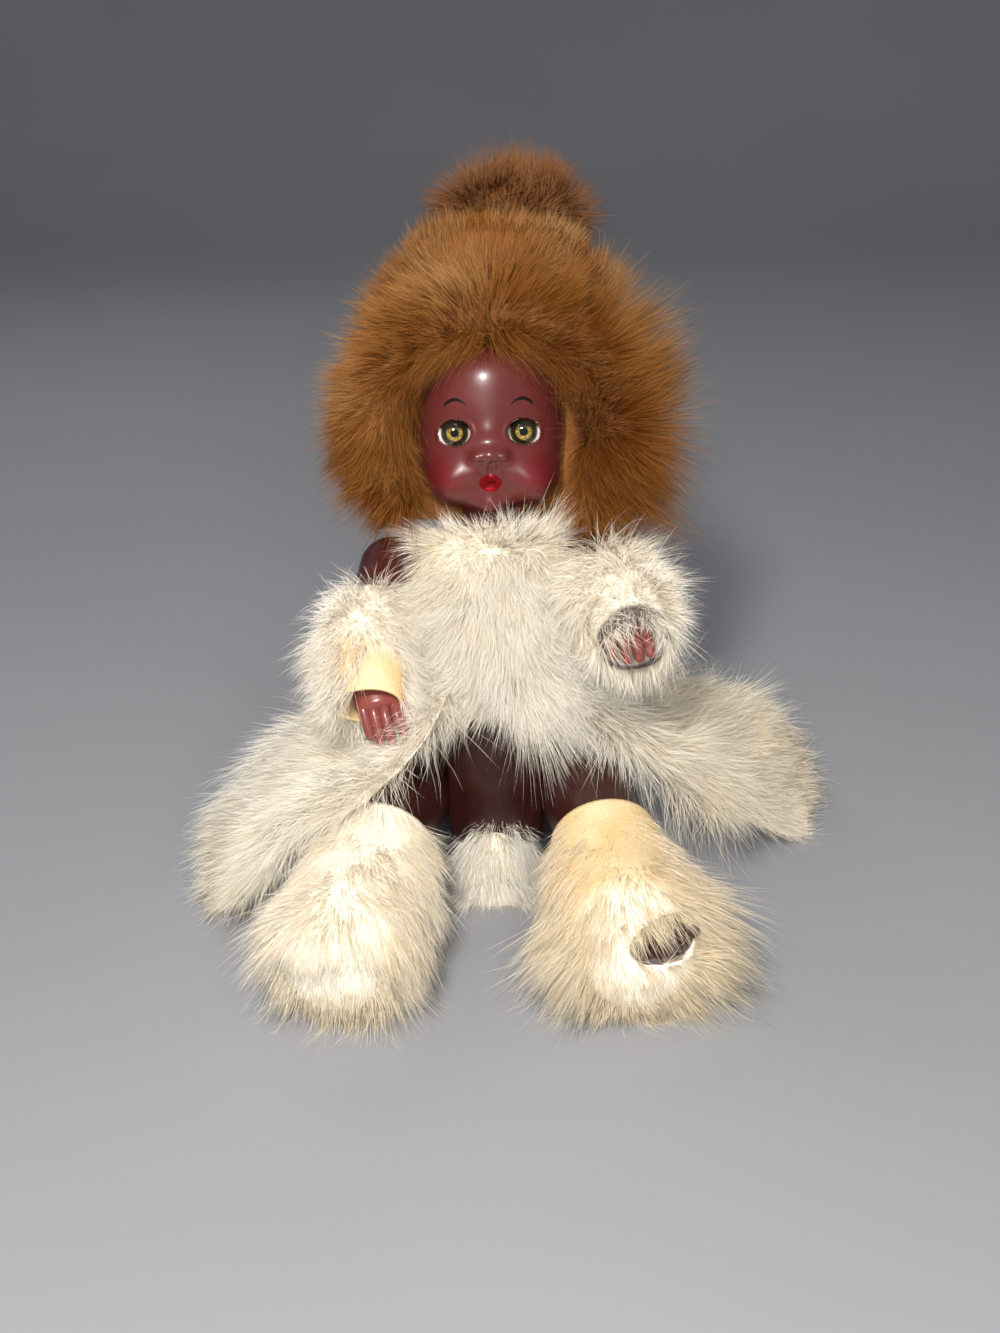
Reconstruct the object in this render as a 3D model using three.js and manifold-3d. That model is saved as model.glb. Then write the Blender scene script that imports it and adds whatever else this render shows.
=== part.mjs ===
// Seated toddler doll of hollow moulded plastic, strung with elastic, with a rocking pair of
// amber eyes, dressed in a fur hood with a pompom, a fur coat and fur boots.
// Millimetres, Z up. The doll faces -Y, its own left side is +X, and the origin is on the
// floor under the middle of the seat.

import * as THREE from "three";
import { mergeVertices } from "three/addons/utils/BufferGeometryUtils.js";
import loadSolids from "manifold-3d";

const solids = await loadSolids();
solids.setup();

// Clearances and walls
const GAP = 0.35;
const LINING_GAP = 0.5;
const SEAM_GAP = 0.3;
const WALL = 2.2;

// Body
const HIP_HEIGHT = 32;
const TORSO_LEAN = 16;
const SHOULDER_HEIGHT = 79;
const NECK_ABOVE_SHOULDER = 15;
const TORSO_TOP = SHOULDER_HEIGHT + NECK_ABOVE_SHOULDER;
const TORSO_HALF_WIDTH = 33;
const TORSO_DEPTH_RATIO = 0.74;
const SHOULDER_FACE = 27;
const HIP_FACE = 17;

// Limbs
const ARM_RADIUS = 12.5;
const ARM_REACH = 60;
const ARM_SPREAD = 11;
const RIGHT_ARM_LIFT = 46;
const LEFT_ARM_LIFT = 73;
const RIGHT_HAND_IN = 0.17;
const LEFT_HAND_IN = 0.02;
const THIGH_RADIUS = 18;
const LEG_REACH = 96;
const LEG_SPREAD = 9;

// Head
const HEAD_WIDTH = 57;
const HEAD_DEPTH = 60;
const HEAD_HEIGHT = 68;
const HEAD_ABOVE_NECK = 41;
const HEAD_ABOVE_HIP = TORSO_TOP + HEAD_ABOVE_NECK;
const HEAD_TURN = 3;
const NECK_RADIUS = 11;
const NECK_ENTRY = 7;
const EYE_RADIUS = 7.2;
const EYE_OPENING = 5.5;
const EYE_SPACING = 24.4;
const EYE_DROP = 6;
const EYE_ROCKER_LENGTH = 14;

// Stringing
const CORD_RADIUS = 1.5;
const TOGGLE_RADIUS = 5;
const TOGGLE_LENGTH = 3;
const HOOK_WIRE = 0.9;

// Fur clothes
const HOOD_SIDE = 28;
const HOOD_CROWN = 39;
const RUFF_RADIUS = 18.5;
const POMPOM_RADIUS = 25;
const COAT_PILE = 15;
const COAT_HALF_WIDTH = 28.5;
const COAT_FRONT_HEM = 27;
const SLEEVE_PILE = 9;
const BOOT_PILE = 15.5;
const FLAP_THICKNESS = 5.5;
const HIP_LIFT = 5;
const TAIL_HALF_WIDTH = 12.5;
const TAIL_LENGTH = 40;
const SKIRT_BACK = 64;

const rad = THREE.MathUtils.degToRad;
const X = new THREE.Vector3(1, 0, 0);
const Y = new THREE.Vector3(0, 1, 0);
const Z = new THREE.Vector3(0, 0, 1);

// Finishes
const plastic = { color: 0x743029, roughness: 0.24, metalness: 0 };
const limbPlastic = { color: 0x7c3d36, roughness: 0.28, metalness: 0 };
const creamFur = { color: 0xf1e3c8, roughness: 0.95, metalness: 0 };
const gingerFur = { color: 0x8a5a30, roughness: 0.95, metalness: 0 };
const paleGingerFur = { color: 0x94683d, roughness: 0.95, metalness: 0 };
const pompomFur = { color: 0x73492a, roughness: 0.95, metalness: 0 };
const amber = { color: 0xb97f1c, roughness: 0.06, metalness: 0 };
const steel = { color: 0x9a9a98, roughness: 0.35, metalness: 1 };
const lead = { color: 0x6b6d70, roughness: 0.5, metalness: 1 };
const beech = { color: 0xb98d5a, roughness: 0.6, metalness: 0 };
const elastic = { color: 0xd8d2c4, roughness: 0.85, metalness: 0 };

// Closed surface from rings of points with a tip at either end.
function skin(rings, firstTip, lastTip) {
  const sides = rings[0].length;
  const points = rings.flat();
  const first = points.push(firstTip) - 1;
  const last = points.push(lastTip) - 1;
  const end = (rings.length - 1) * sides;
  const faces = [];
  for (let s = 0; s < sides; s += 1) {
    const t = (s + 1) % sides;
    for (let r = 0; r < end; r += sides) {
      faces.push(r + s, r + t, r + s + sides);
      faces.push(r + t, r + t + sides, r + s + sides);
    }
    faces.push(first, t, s);
    faces.push(last, end + s, end + t);
  }
  const geometry = new THREE.BufferGeometry().setFromPoints(points);
  geometry.setIndex(faces);
  return outward(geometry);
}

// Faces turned outward by the sign of the enclosed volume.
function outward(geometry) {
  const at = geometry.getAttribute("position");
  const index = geometry.getIndex().array;
  const corner = [new THREE.Vector3(), new THREE.Vector3(), new THREE.Vector3()];
  let volume = 0;
  for (let i = 0; i < index.length; i += 3) {
    corner.forEach((c, k) => c.fromBufferAttribute(at, index[i + k]));
    volume += corner[0].dot(corner[1].clone().cross(corner[2]));
  }
  if (volume < 0) {
    for (let i = 0; i < index.length; i += 3) {
      const keep = index[i];
      index[i] = index[i + 1];
      index[i + 1] = keep;
    }
  }
  return geometry;
}

// Oval section swept along a smooth spine, with a dome or a flat end at both ends.
function swept(spine, { across = X, steps = 14, sides = 18, domes = [0, 0], grow = 0 }) {
  const centre = new THREE.CatmullRomCurve3(spine.map((s) => new THREE.Vector3(...s.at)));
  const size = new THREE.CatmullRomCurve3(spine.map((s) => new THREE.Vector3(s.wide, s.deep, s.tilt ?? 0)));
  const place = (t, shrink, shift) => {
    const along = centre.getTangent(t);
    const u = across.clone().addScaledVector(along, -across.dot(along)).normalize();
    const half = size.getPoint(t);
    u.applyAxisAngle(along, rad(half.z));
    const v = along.clone().cross(u);
    const middle = centre.getPoint(t).addScaledVector(along, shift);
    const ring = [];
    for (let s = 0; s < sides; s += 1) {
      const turn = (2 * Math.PI * s) / sides;
      ring.push(
        middle
          .clone()
          .addScaledVector(u, (half.x + grow) * shrink * Math.cos(turn))
          .addScaledVector(v, (half.y + grow) * shrink * Math.sin(turn)),
      );
    }
    return { ring, middle };
  };
  const rise = domes.map((d) => (d === 0 ? grow : d + grow));
  const bends = [1.2, 0.65];
  const rings = [];
  if (domes[0] > 0) {
    bends.forEach((b) => rings.push(place(0, Math.cos(b), -rise[0] * Math.sin(b)).ring));
  }
  for (let i = 0; i <= steps; i += 1) {
    rings.push(place(i / steps, 1, 0).ring);
  }
  if (domes[1] > 0) {
    bends.toReversed().forEach((b) => rings.push(place(1, Math.cos(b), rise[1] * Math.sin(b)).ring));
  }
  const firstTip = place(0, 1, domes[0] > 0 ? -rise[0] : 0).middle;
  const lastTip = place(1, 1, domes[1] > 0 ? rise[1] : 0).middle;
  return skin(rings, firstTip, lastTip);
}

// Turned form about Z, with the depth drawn in or out.
function turned(profile, segments, depthRatio = 1) {
  const geometry = new THREE.LatheGeometry(profile, segments);
  geometry.rotateX(Math.PI / 2);
  geometry.scale(1, depthRatio, 1);
  return geometry;
}

// Round bar along X between two stations.
function barX(radius, from, to, segments = 24) {
  const geometry = new THREE.CylinderGeometry(radius, radius, to - from, segments);
  geometry.rotateZ(Math.PI / 2);
  geometry.translate((from + to) / 2, 0, 0);
  return geometry;
}

// Round bar along Z between two heights.
function barZ(radius, from, to, segments = 24) {
  const geometry = new THREE.CylinderGeometry(radius, radius, to - from, segments);
  geometry.rotateX(Math.PI / 2);
  geometry.translate(0, 0, (from + to) / 2);
  return geometry;
}

// Block between two opposite corners.
function block(low, high) {
  const size = high.map((h, i) => h - low[i]);
  const geometry = new THREE.BoxGeometry(...size);
  geometry.translate(...high.map((h, i) => (h + low[i]) / 2));
  return geometry;
}

// Washer along X.
function washerX(inner, outer, from, to) {
  const corners = [
    new THREE.Vector2(inner, from),
    new THREE.Vector2(outer, from),
    new THREE.Vector2(outer, to),
    new THREE.Vector2(inner, to),
    new THREE.Vector2(inner, from),
  ];
  const geometry = new THREE.LatheGeometry(corners, 14);
  geometry.rotateZ(-Math.PI / 2);
  return geometry;
}

// Closed body ready for joining and cutting.
function body(geometry) {
  const bare = new THREE.BufferGeometry();
  bare.setAttribute("position", geometry.getAttribute("position").clone());
  bare.setIndex(geometry.getIndex().clone());
  const joined = mergeVertices(bare, 1e-4);
  const index = joined.getIndex().array;
  const faces = [];
  for (let i = 0; i < index.length; i += 3) {
    const [a, b, c] = [index[i], index[i + 1], index[i + 2]];
    if (a !== b && b !== c && c !== a) {
      faces.push(a, b, c);
    }
  }
  joined.setIndex(faces);
  outward(joined);
  const mesh = new solids.Mesh({
    numProp: 3,
    vertProperties: new Float32Array(joined.getAttribute("position").array),
    triVerts: new Uint32Array(joined.getIndex().array),
  });
  return new solids.Manifold(mesh);
}

// Body moved by a group's placing.
function moved(geometry, matrix) {
  return body(geometry.clone().applyMatrix4(matrix));
}

function geometryOf(solid) {
  const data = solid.simplify(0.06).getMesh();
  const geometry = new THREE.BufferGeometry();
  geometry.setAttribute("position", new THREE.BufferAttribute(data.vertProperties, 3));
  geometry.setIndex(new THREE.BufferAttribute(data.triVerts, 1));
  geometry.computeVertexNormals();
  return geometry;
}

function piece(group, name, solid, finish) {
  const mesh = new THREE.Mesh(geometryOf(solid), new THREE.MeshStandardMaterial(finish));
  mesh.name = name;
  group.add(mesh);
  return mesh;
}

// Two moulded halves parted on a plane.
function halves(solid, normal, offset) {
  const back = normal.map((n) => -n);
  return [
    solid.trimByPlane(normal, offset + SEAM_GAP / 2),
    solid.trimByPlane(back, -offset + SEAM_GAP / 2),
  ];
}

const FAR = 400;
const doll = new THREE.Group();
doll.name = "doll";

const torso = new THREE.Group();
torso.position.set(0, 0, HIP_HEIGHT);
torso.rotation.x = -rad(TORSO_LEAN);
doll.add(torso);

const head = new THREE.Group();
head.position.set(0, 0, HEAD_ABOVE_HIP);
head.rotation.z = rad(HEAD_TURN);
torso.add(head);

// Torso shell with flat sockets for the limbs and a cup for the neck.
const cupFloor = TORSO_TOP - NECK_ENTRY - GAP;
const waist = TORSO_HALF_WIDTH;

function torsoForm(grow) {
  const half = waist + grow;
  const outline = new THREE.SplineCurve([
    new THREE.Vector2(0, -0.27 * TORSO_TOP - grow),
    new THREE.Vector2(0.62 * half, -0.24 * TORSO_TOP - grow),
    new THREE.Vector2(0.95 * half, -0.05 * TORSO_TOP),
    new THREE.Vector2(half, 0.1 * TORSO_TOP),
    new THREE.Vector2(0.92 * half, 0.36 * TORSO_TOP),
    new THREE.Vector2(0.95 * half, 0.62 * TORSO_TOP),
    new THREE.Vector2(0.94 * half, 0.82 * TORSO_TOP),
    new THREE.Vector2(0.8 * half, 0.935 * TORSO_TOP + grow),
    new THREE.Vector2(NECK_RADIUS + 2 * WALL + grow, 0.985 * TORSO_TOP + grow),
  ]);
  const profile = outline.getPoints(11);
  profile[0].x = 0;
  profile.push(new THREE.Vector2(NECK_RADIUS + WALL + GAP + grow, TORSO_TOP + grow));
  profile.push(new THREE.Vector2(0, TORSO_TOP + grow));
  return turned(profile, grow < 0 ? 14 : 22, TORSO_DEPTH_RATIO);
}

// Room kept for a limb at its socket: a flat side at the shoulder, an arch at the hip.
function shoulderRoom(side, inset) {
  const room = block([SHOULDER_FACE - inset, -FAR, 0.34 * TORSO_TOP - inset], [FAR, FAR, FAR]);
  return body(room.scale(side, 1, 1));
}

const thighRoom = THIGH_RADIUS + 1.5;

function hipRoom(side, inset, face = HIP_FACE) {
  const reach = thighRoom + inset;
  const from = face - inset;
  const round = barX(reach, from, FAR, 22);
  const below = block([from, -FAR, -FAR], [FAR, FAR, 0]);
  const ahead = block([from, -FAR, -FAR], [FAR, 0, reach]);
  return [round, below, ahead]
    .map((part) => body(part.scale(side, 1, 1)))
    .reduce((sum, part) => sum.add(part));
}

const torsoOuter = body(torsoForm(0));
const cup = body(barZ(NECK_RADIUS + GAP, cupFloor, FAR, 24));
const cupWall = body(barZ(NECK_RADIUS + GAP + WALL, cupFloor - WALL, FAR, 18));
let cavity = body(torsoForm(-WALL)).subtract(cupWall);
let torsoShell = torsoOuter.subtract(cup);
for (const side of [1, -1]) {
  cavity = cavity.subtract(shoulderRoom(side, WALL)).subtract(hipRoom(side, WALL));
  torsoShell = torsoShell.subtract(shoulderRoom(side, 0)).subtract(hipRoom(side, 0));
}
const cordHole = CORD_RADIUS + GAP;
const shoulderHole = barX(cordHole, -FAR, FAR, 16).translate(0, 0, SHOULDER_HEIGHT);
const hipHole = barX(cordHole, -FAR, FAR, 16);
const hookHole = barZ(HOOK_WIRE + 2.2 * GAP, cupFloor - 3 * WALL, FAR, 16);
torsoShell = [shoulderHole, hipHole, hookHole]
  .map((hole) => body(hole))
  .reduce((rest, hole) => rest.subtract(hole), torsoShell.subtract(cavity));
const [torsoBack, torsoFront] = halves(torsoShell, [0, 1, 0], 0);
piece(torso, "torso_front", torsoFront, plastic);
piece(torso, "torso_back", torsoBack, plastic);

// Elastic cord from limb to limb, knotted beyond the toggles.
function limbCord(face) {
  const disc = face + GAP + WALL;
  const knot = disc + GAP + TOGGLE_LENGTH + GAP;
  const stations = [
    [0, CORD_RADIUS],
    [knot - 0.01, CORD_RADIUS],
    [knot, 1.9 * CORD_RADIUS],
    [knot + 2, 2.1 * CORD_RADIUS],
    [knot + 3.6, 1.3 * CORD_RADIUS],
  ];
  const half = stations.map(([x, r]) => new THREE.Vector2(r, x));
  const mirrored = half.slice(1).reverse().map((p) => new THREE.Vector2(p.x, -p.y));
  const profile = [...mirrored, ...half];
  profile.unshift(new THREE.Vector2(0, profile[0].y));
  profile.push(new THREE.Vector2(0, profile.at(-1).y));
  const geometry = new THREE.LatheGeometry(profile, 12);
  geometry.rotateZ(-Math.PI / 2);
  return geometry;
}

piece(torso, "shoulder_elastic", body(limbCord(SHOULDER_FACE).translate(0, 0, SHOULDER_HEIGHT)), elastic);
piece(torso, "hip_elastic", body(limbCord(HIP_FACE)), elastic);

// Neck hook caught under the shoulder cord and headed over a wooden toggle in the neck.
const neckFloor = cupFloor + GAP + WALL;
const hookRound = CORD_RADIUS + GAP + HOOK_WIRE;
const hookTop = neckFloor + GAP + TOGGLE_LENGTH + GAP;
const hookPath = [
  [0, 0, hookTop],
  [0, 0, cupFloor - WALL],
  [0, 0.75 * hookRound, SHOULDER_HEIGHT + 0.85 * hookRound],
  [0, hookRound, SHOULDER_HEIGHT],
  [0, 0.72 * hookRound, SHOULDER_HEIGHT - 0.72 * hookRound],
  [0, 0, SHOULDER_HEIGHT - hookRound],
  [0, -0.72 * hookRound, SHOULDER_HEIGHT - 0.72 * hookRound],
  [0, -hookRound, SHOULDER_HEIGHT + 0.2 * hookRound],
];
const hookSpine = hookPath.map((at) => ({ at, wide: HOOK_WIRE, deep: HOOK_WIRE }));
const hookWire = body(swept(hookSpine, { steps: 16, sides: 6 }));
const hookHead = body(barZ(2.4, hookTop, hookTop + 1.4, 16));
const cordRoom = body(barX(CORD_RADIUS + GAP, -FAR, FAR, 16).translate(0, 0, SHOULDER_HEIGHT));
piece(torso, "neck_hook", hookWire.add(hookHead).subtract(cordRoom), steel);
const neckToggle = washerX(HOOK_WIRE + 1.4 * GAP, TOGGLE_RADIUS, 0, TOGGLE_LENGTH).rotateY(-Math.PI / 2);
neckToggle.translate(0, 0, neckFloor + GAP);
piece(torso, "neck_toggle", body(neckToggle), beech);

// Head: an egg with forehead, cheeks, nose, lips, chin and shallow eye hollows.
const eyeX = EYE_SPACING / 2;
const features = [
  { x: 0, z: 0.21 * HEAD_HEIGHT, wide: 15, tall: 11, rise: 1.3 },
  { x: eyeX, z: -EYE_DROP, wide: 6.6, tall: 5.4, rise: -2.0 },
  { x: -eyeX, z: -EYE_DROP, wide: 6.6, tall: 5.4, rise: -2.0 },
  { x: eyeX + 3, z: -EYE_DROP - 14, wide: 8.5, tall: 8, rise: 3.6 },
  { x: -eyeX - 3, z: -EYE_DROP - 14, wide: 8.5, tall: 8, rise: 3.6 },
  { x: 0, z: -EYE_DROP - 8.6, wide: 3.2, tall: 3.4, rise: 4.4 },
  { x: 0, z: -EYE_DROP - 3.5, wide: 2.6, tall: 3.6, rise: 1.1 },
  { x: 3.6, z: -EYE_DROP - 10, wide: 2, tall: 1.9, rise: 1.6 },
  { x: -3.6, z: -EYE_DROP - 10, wide: 2, tall: 1.9, rise: 1.6 },
  { x: 0, z: -EYE_DROP - 17.4, wide: 4.2, tall: 1.9, rise: 2.0 },
  { x: 0, z: -EYE_DROP - 21.2, wide: 3.2, tall: 1.7, rise: 1.9 },
  { x: 0, z: -EYE_DROP - 26.5, wide: 6.4, tall: 3.6, rise: 3.0 },
];

function headForm(inset, columns, rows) {
  const half = [HEAD_WIDTH, HEAD_DEPTH, HEAD_HEIGHT].map((d) => d / 2 - inset);
  const detail = inset > 0.6 ? 0.6 : 1;
  const rings = [];
  for (let r = 1; r < rows; r += 1) {
    const drop = (Math.PI * r) / rows;
    const ring = [];
    for (let c = 0; c < columns; c += 1) {
      const s = (2 * c) / columns - 1;
      const turn = Math.PI * (0.56 * s + 0.44 * s ** 3) - Math.PI / 2;
      const way = new THREE.Vector3(
        Math.sin(drop) * Math.cos(turn),
        Math.sin(drop) * Math.sin(turn),
        Math.cos(drop),
      );
      const point = way.clone().multiply(new THREE.Vector3(...half));
      const front = THREE.MathUtils.smoothstep(-way.y, 0.05, 0.35);
      const rise = features.reduce((sum, f) => {
        const across = (point.x - f.x) / f.wide;
        const up = (point.z - f.z) / f.tall;
        return sum + f.rise * Math.exp(-across * across - up * up);
      }, 0);
      ring.push(point.addScaledVector(way, rise * front * detail));
    }
    rings.push(ring);
  }
  const top = new THREE.Vector3(0, 0, half[2]);
  const bottom = new THREE.Vector3(0, 0, -half[2]);
  return skin(rings, top, bottom);
}

const stubEnd = cupFloor + GAP - HEAD_ABOVE_HIP;
const jaw = -0.36 * HEAD_HEIGHT;
const headSolid = body(headForm(0, 32, 23)).add(body(barZ(NECK_RADIUS, stubEnd, jaw, 24)));
const headHollow = body(headForm(WALL, 18, 12)).add(
  body(barZ(NECK_RADIUS - WALL, stubEnd + WALL, jaw, 18)),
);
const eyeSink = 6.9;
const eyeForward = HEAD_DEPTH / 2 * Math.sqrt(1 - (eyeX / (HEAD_WIDTH / 2)) ** 2) - 1.6;
const eyeY = -(eyeForward - eyeSink);
const eyeZ = -EYE_DROP;

function ball(radius, side, columns = 16, rows = 11) {
  const geometry = new THREE.SphereGeometry(radius, columns, rows);
  geometry.rotateX(Math.PI / 2);
  geometry.translate(side * eyeX, eyeY, eyeZ);
  return body(geometry);
}

function eyeHole(side) {
  const geometry = new THREE.CylinderGeometry(EYE_OPENING, EYE_OPENING, HEAD_DEPTH, 20);
  geometry.translate(side * eyeX, eyeY - HEAD_DEPTH / 2, eyeZ);
  return body(geometry);
}

let headShell = headSolid.subtract(headHollow);
for (const side of [1, -1]) {
  headShell = headShell.subtract(eyeHole(side)).subtract(ball(EYE_RADIUS + GAP, side));
}
const stubHole = body(barZ(HOOK_WIRE + 2.2 * GAP, stubEnd - 1, stubEnd + 2 * WALL, 16));
headShell = headShell.subtract(stubHole);
const [headBack, headFront] = halves(headShell, [0, 1, 0], 0.08 * HEAD_DEPTH);
piece(head, "head_front", headFront, plastic);
piece(head, "head_back", headBack, plastic);

// Rocking eyes: two balls on a bar with a lead weight hanging under it.
const barRadius = 1.1;
const barReach = eyeX - EYE_RADIUS * 0.35;
const stemWay = new THREE.Vector3(0, Math.sin(rad(TORSO_LEAN)), -Math.cos(rad(TORSO_LEAN)));
const onAxle = (geometry) => geometry.translate(0, eyeY, eyeZ);
for (const side of [1, -1]) {
  const socket = body(onAxle(barX(barRadius + GAP, -barReach - GAP, barReach + GAP, 16)));
  const name = side > 0 ? "left_eye" : "right_eye";
  piece(head, name, ball(EYE_RADIUS, side).subtract(socket), amber);
}
const axle = body(onAxle(barX(barRadius, -barReach, barReach, 16)));
const weightRadius = 3.2;
const stemEnd = EYE_ROCKER_LENGTH - weightRadius - GAP;
const stemSpine = [0, stemEnd / 2, stemEnd].map((d) => ({
  at: stemWay.clone().multiplyScalar(d).toArray(),
  wide: 1.4,
  deep: 0.9,
}));
const stem = body(onAxle(swept(stemSpine, { steps: 3, sides: 12 })));
piece(head, "eye_rocker", axle.add(stem), steel);
const weightAt = stemWay.clone().multiplyScalar(EYE_ROCKER_LENGTH);
const weightForm = barX(weightRadius, -5.5, 5.5, 20);
weightForm.translate(0, eyeY + weightAt.y, eyeZ + weightAt.z);
piece(head, "eye_weight", body(weightForm), lead);

// Bearing fork cemented inside the face behind the bridge of the nose.
const forkHalf = barReach - 2 * (EYE_RADIUS - barReach * 0.35) * 0.2 - 3.2;
const forkHollow = body(headForm(WALL + GAP, 18, 12));
const forkBlock = body(
  block([-forkHalf, -HEAD_DEPTH, eyeZ - 2.6], [forkHalf, eyeY + 2.6, eyeZ + 2.6]),
);
const forkSlot = body(
  block([-2.4, eyeY - 2.8, eyeZ - FAR], [2.4, FAR, eyeZ + FAR]),
);
const forkHole = body(onAxle(barX(barRadius + GAP, -FAR, FAR, 16)));
const forkEyes = [1, -1].map((side) => ball(EYE_RADIUS + GAP, side));
const fork = [forkSlot, forkHole, ...forkEyes].reduce(
  (rest, cut) => rest.subtract(cut),
  forkBlock.intersect(forkHollow),
);
piece(head, "eye_bearing", fork, steel);

// Arm with a bent elbow and a hand of four fingers and a thumb, hanging before it is lifted.
const shoulderMid = 0.8 * ARM_RADIUS;

function armSpine(inward) {
  const reach = ARM_REACH;
  const r = ARM_RADIUS;
  const bend = -inward * reach;
  return [
    { at: [0, 0, 0], wide: r, deep: r },
    { at: [0, 0, -0.22 * reach], wide: 0.93 * r, deep: 0.95 * r },
    { at: [0, -0.03 * reach, -0.46 * reach], wide: 0.8 * r, deep: 0.82 * r },
    { at: [0.15 * bend, -0.07 * reach, -0.68 * reach], wide: 0.74 * r, deep: 0.74 * r },
    { at: [0.5 * bend, -0.08 * reach, -0.87 * reach], wide: 0.56 * r, deep: 0.52 * r },
    { at: [0.75 * bend, -0.06 * reach, -0.96 * reach], wide: 0.6 * r, deep: 0.42 * r },
    { at: [bend, -0.03 * reach, -1.05 * reach], wide: 0.62 * r, deep: 0.38 * r },
  ];
}

const armTop = ARM_RADIUS * 0.95;

function armForm(grow, inward) {
  const domes = [armTop, 0.24 * ARM_RADIUS];
  return swept(armSpine(inward), { steps: 8, sides: grow < 0 ? 8 : 12, domes, grow });
}

function fingerForms(grow, inward) {
  const reach = ARM_REACH;
  const r = ARM_RADIUS;
  const root = [-0.035 * reach, -1.04 * reach];
  const tip = [0.07 * reach, -1.25 * reach];
  const bend = -inward * reach;
  const spans = [-0.45, -0.15, 0.15, 0.45];
  const lengths = [0.8, 1, 0.98, 0.86];
  const fingers = spans.map((span, i) => {
    const x = span * r;
    const y = root[0] + (tip[0] - root[0]) * lengths[i];
    const z = root[1] + (tip[1] - root[1]) * lengths[i];
    const knuckle = [(root[0] + y) / 2 - 0.064 * r, (root[1] + z) / 2];
    const spine = [
      { at: [x + bend, root[0], root[1]], wide: 0.17 * r, deep: 0.2 * r },
      { at: [1.06 * x + 1.3 * bend, ...knuckle], wide: 0.165 * r, deep: 0.18 * r },
      { at: [1.1 * x + 1.6 * bend, y, z], wide: 0.14 * r, deep: 0.14 * r },
    ];
    return swept(spine, { steps: 2, sides: 6, domes: [0, 0.112 * r], grow });
  });
  const thumb = [
    { at: [-0.4 * r + 0.7 * bend, -0.05 * reach, -0.93 * reach], wide: 0.2 * r, deep: 0.22 * r },
    { at: [-0.68 * r + bend, -0.01 * reach, -1.02 * reach], wide: 0.19 * r, deep: 0.2 * r },
    { at: [-0.76 * r + 1.2 * bend, 0.05 * reach, -1.1 * reach], wide: 0.15 * r, deep: 0.15 * r },
  ];
  fingers.push(swept(thumb, { steps: 2, sides: 6, domes: [0, 0.112 * r], grow }));
  return fingers;
}

// A limb stands off its socket and splays outward in its own plane.
function armPlace(side) {
  const place = new THREE.Matrix4().makeTranslation(side * shoulderMid, 0, 0);
  place.multiply(new THREE.Matrix4().makeRotationY(-side * rad(ARM_SPREAD)));
  place.multiply(new THREE.Matrix4().makeScale(side, 1, 1));
  return place;
}

const sleeveSpan = [0.34, 0.97];

// Fur sleeve round the forearm, open at both ends.
function sleeveForm(inward) {
  const reach = ARM_REACH;
  const bend = -inward * reach;
  const r = ARM_RADIUS;
  const p = SLEEVE_PILE;
  const spine = [
    { at: [0, 0, -sleeveSpan[0] * reach], wide: 0.86 * r + 0.5 * p, deep: 0.86 * r + 0.5 * p },
    { at: [0.04 * r, -0.02 * reach, -0.5 * reach], wide: 0.8 * r + 0.85 * p, deep: 0.8 * r + 0.85 * p },
    { at: [0.096 * r + 0.15 * bend, -0.05 * reach, -0.7 * reach], wide: 0.74 * r + p, deep: 0.74 * r + p },
    {
      at: [0.08 * r + 0.5 * bend, -0.06 * reach, -0.87 * reach],
      wide: 0.62 * r + 0.9 * p,
      deep: 0.6 * r + 0.9 * p,
    },
    {
      at: [0.048 * r + 0.75 * bend, -0.06 * reach, -sleeveSpan[1] * reach],
      wide: 0.6 * r + 0.5 * p,
      deep: 0.52 * r + 0.5 * p,
    },
  ];
  return swept(spine, { steps: 6, sides: 14 });
}

for (const side of [1, -1]) {
  const name = side > 0 ? "left" : "right";
  const lift = side > 0 ? LEFT_ARM_LIFT : RIGHT_ARM_LIFT;
  const inward = side > 0 ? LEFT_HAND_IN : RIGHT_HAND_IN;
  const group = new THREE.Group();
  group.position.set(side * SHOULDER_FACE, 0, SHOULDER_HEIGHT);
  group.rotation.x = -rad(lift);
  torso.add(group);
  const place = armPlace(side);
  const faceCut = [side, 0, 0];
  const outer = moved(armForm(0, inward), place);
  const hand = fingerForms(0, inward).map((finger) => moved(finger, place));
  const inside = moved(armForm(-WALL, inward), place).trimByPlane(faceCut, GAP + WALL);
  const wristCut = body(block([-FAR, -FAR, -FAR], [FAR, FAR, -0.8 * ARM_REACH]));
  const hollow = inside.subtract(wristCut);
  const hole = body(barX(cordHole, -FAR, FAR, 16));
  const whole = hand.reduce((sum, finger) => sum.add(finger), outer).trimByPlane(faceCut, GAP);
  const shell = whole.subtract(hollow).subtract(hole.trimByPlane([-side, 0, 0], -shoulderMid));
  const normal = new THREE.Vector3(side, 0, 0).applyAxisAngle(Y, -side * rad(ARM_SPREAD));
  const offset = normal.x * side * shoulderMid;
  const [outerHalf, innerHalf] = halves(shell, normal.toArray(), offset);
  piece(group, `${name}_arm_outer`, outerHalf, limbPlastic);
  piece(group, `${name}_arm_inner`, innerHalf, limbPlastic);
  const from = GAP + WALL + GAP;
  const toggle = washerX(cordHole, TOGGLE_RADIUS, from, from + TOGGLE_LENGTH).scale(side, 1, 1);
  piece(group, `${name}_arm_toggle`, body(toggle), beech);
  const sleeve = moved(sleeveForm(inward), place);
  const limits = sleeve.trimByPlane(faceCut, COAT_HALF_WIDTH - SHOULDER_FACE + 2 * GAP);
  const handRoom = fingerForms(LINING_GAP, inward).map((finger) => moved(finger, place));
  const armRoom = handRoom.reduce((sum, finger) => sum.add(finger), moved(armForm(LINING_GAP, inward), place));
  piece(group, `${name}_sleeve`, limits.subtract(armRoom), creamFur);
}

// Leg reaching forward from the hip with a bent knee and a small upturned foot.
const hipMid = 0.78 * THIGH_RADIUS;

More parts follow.
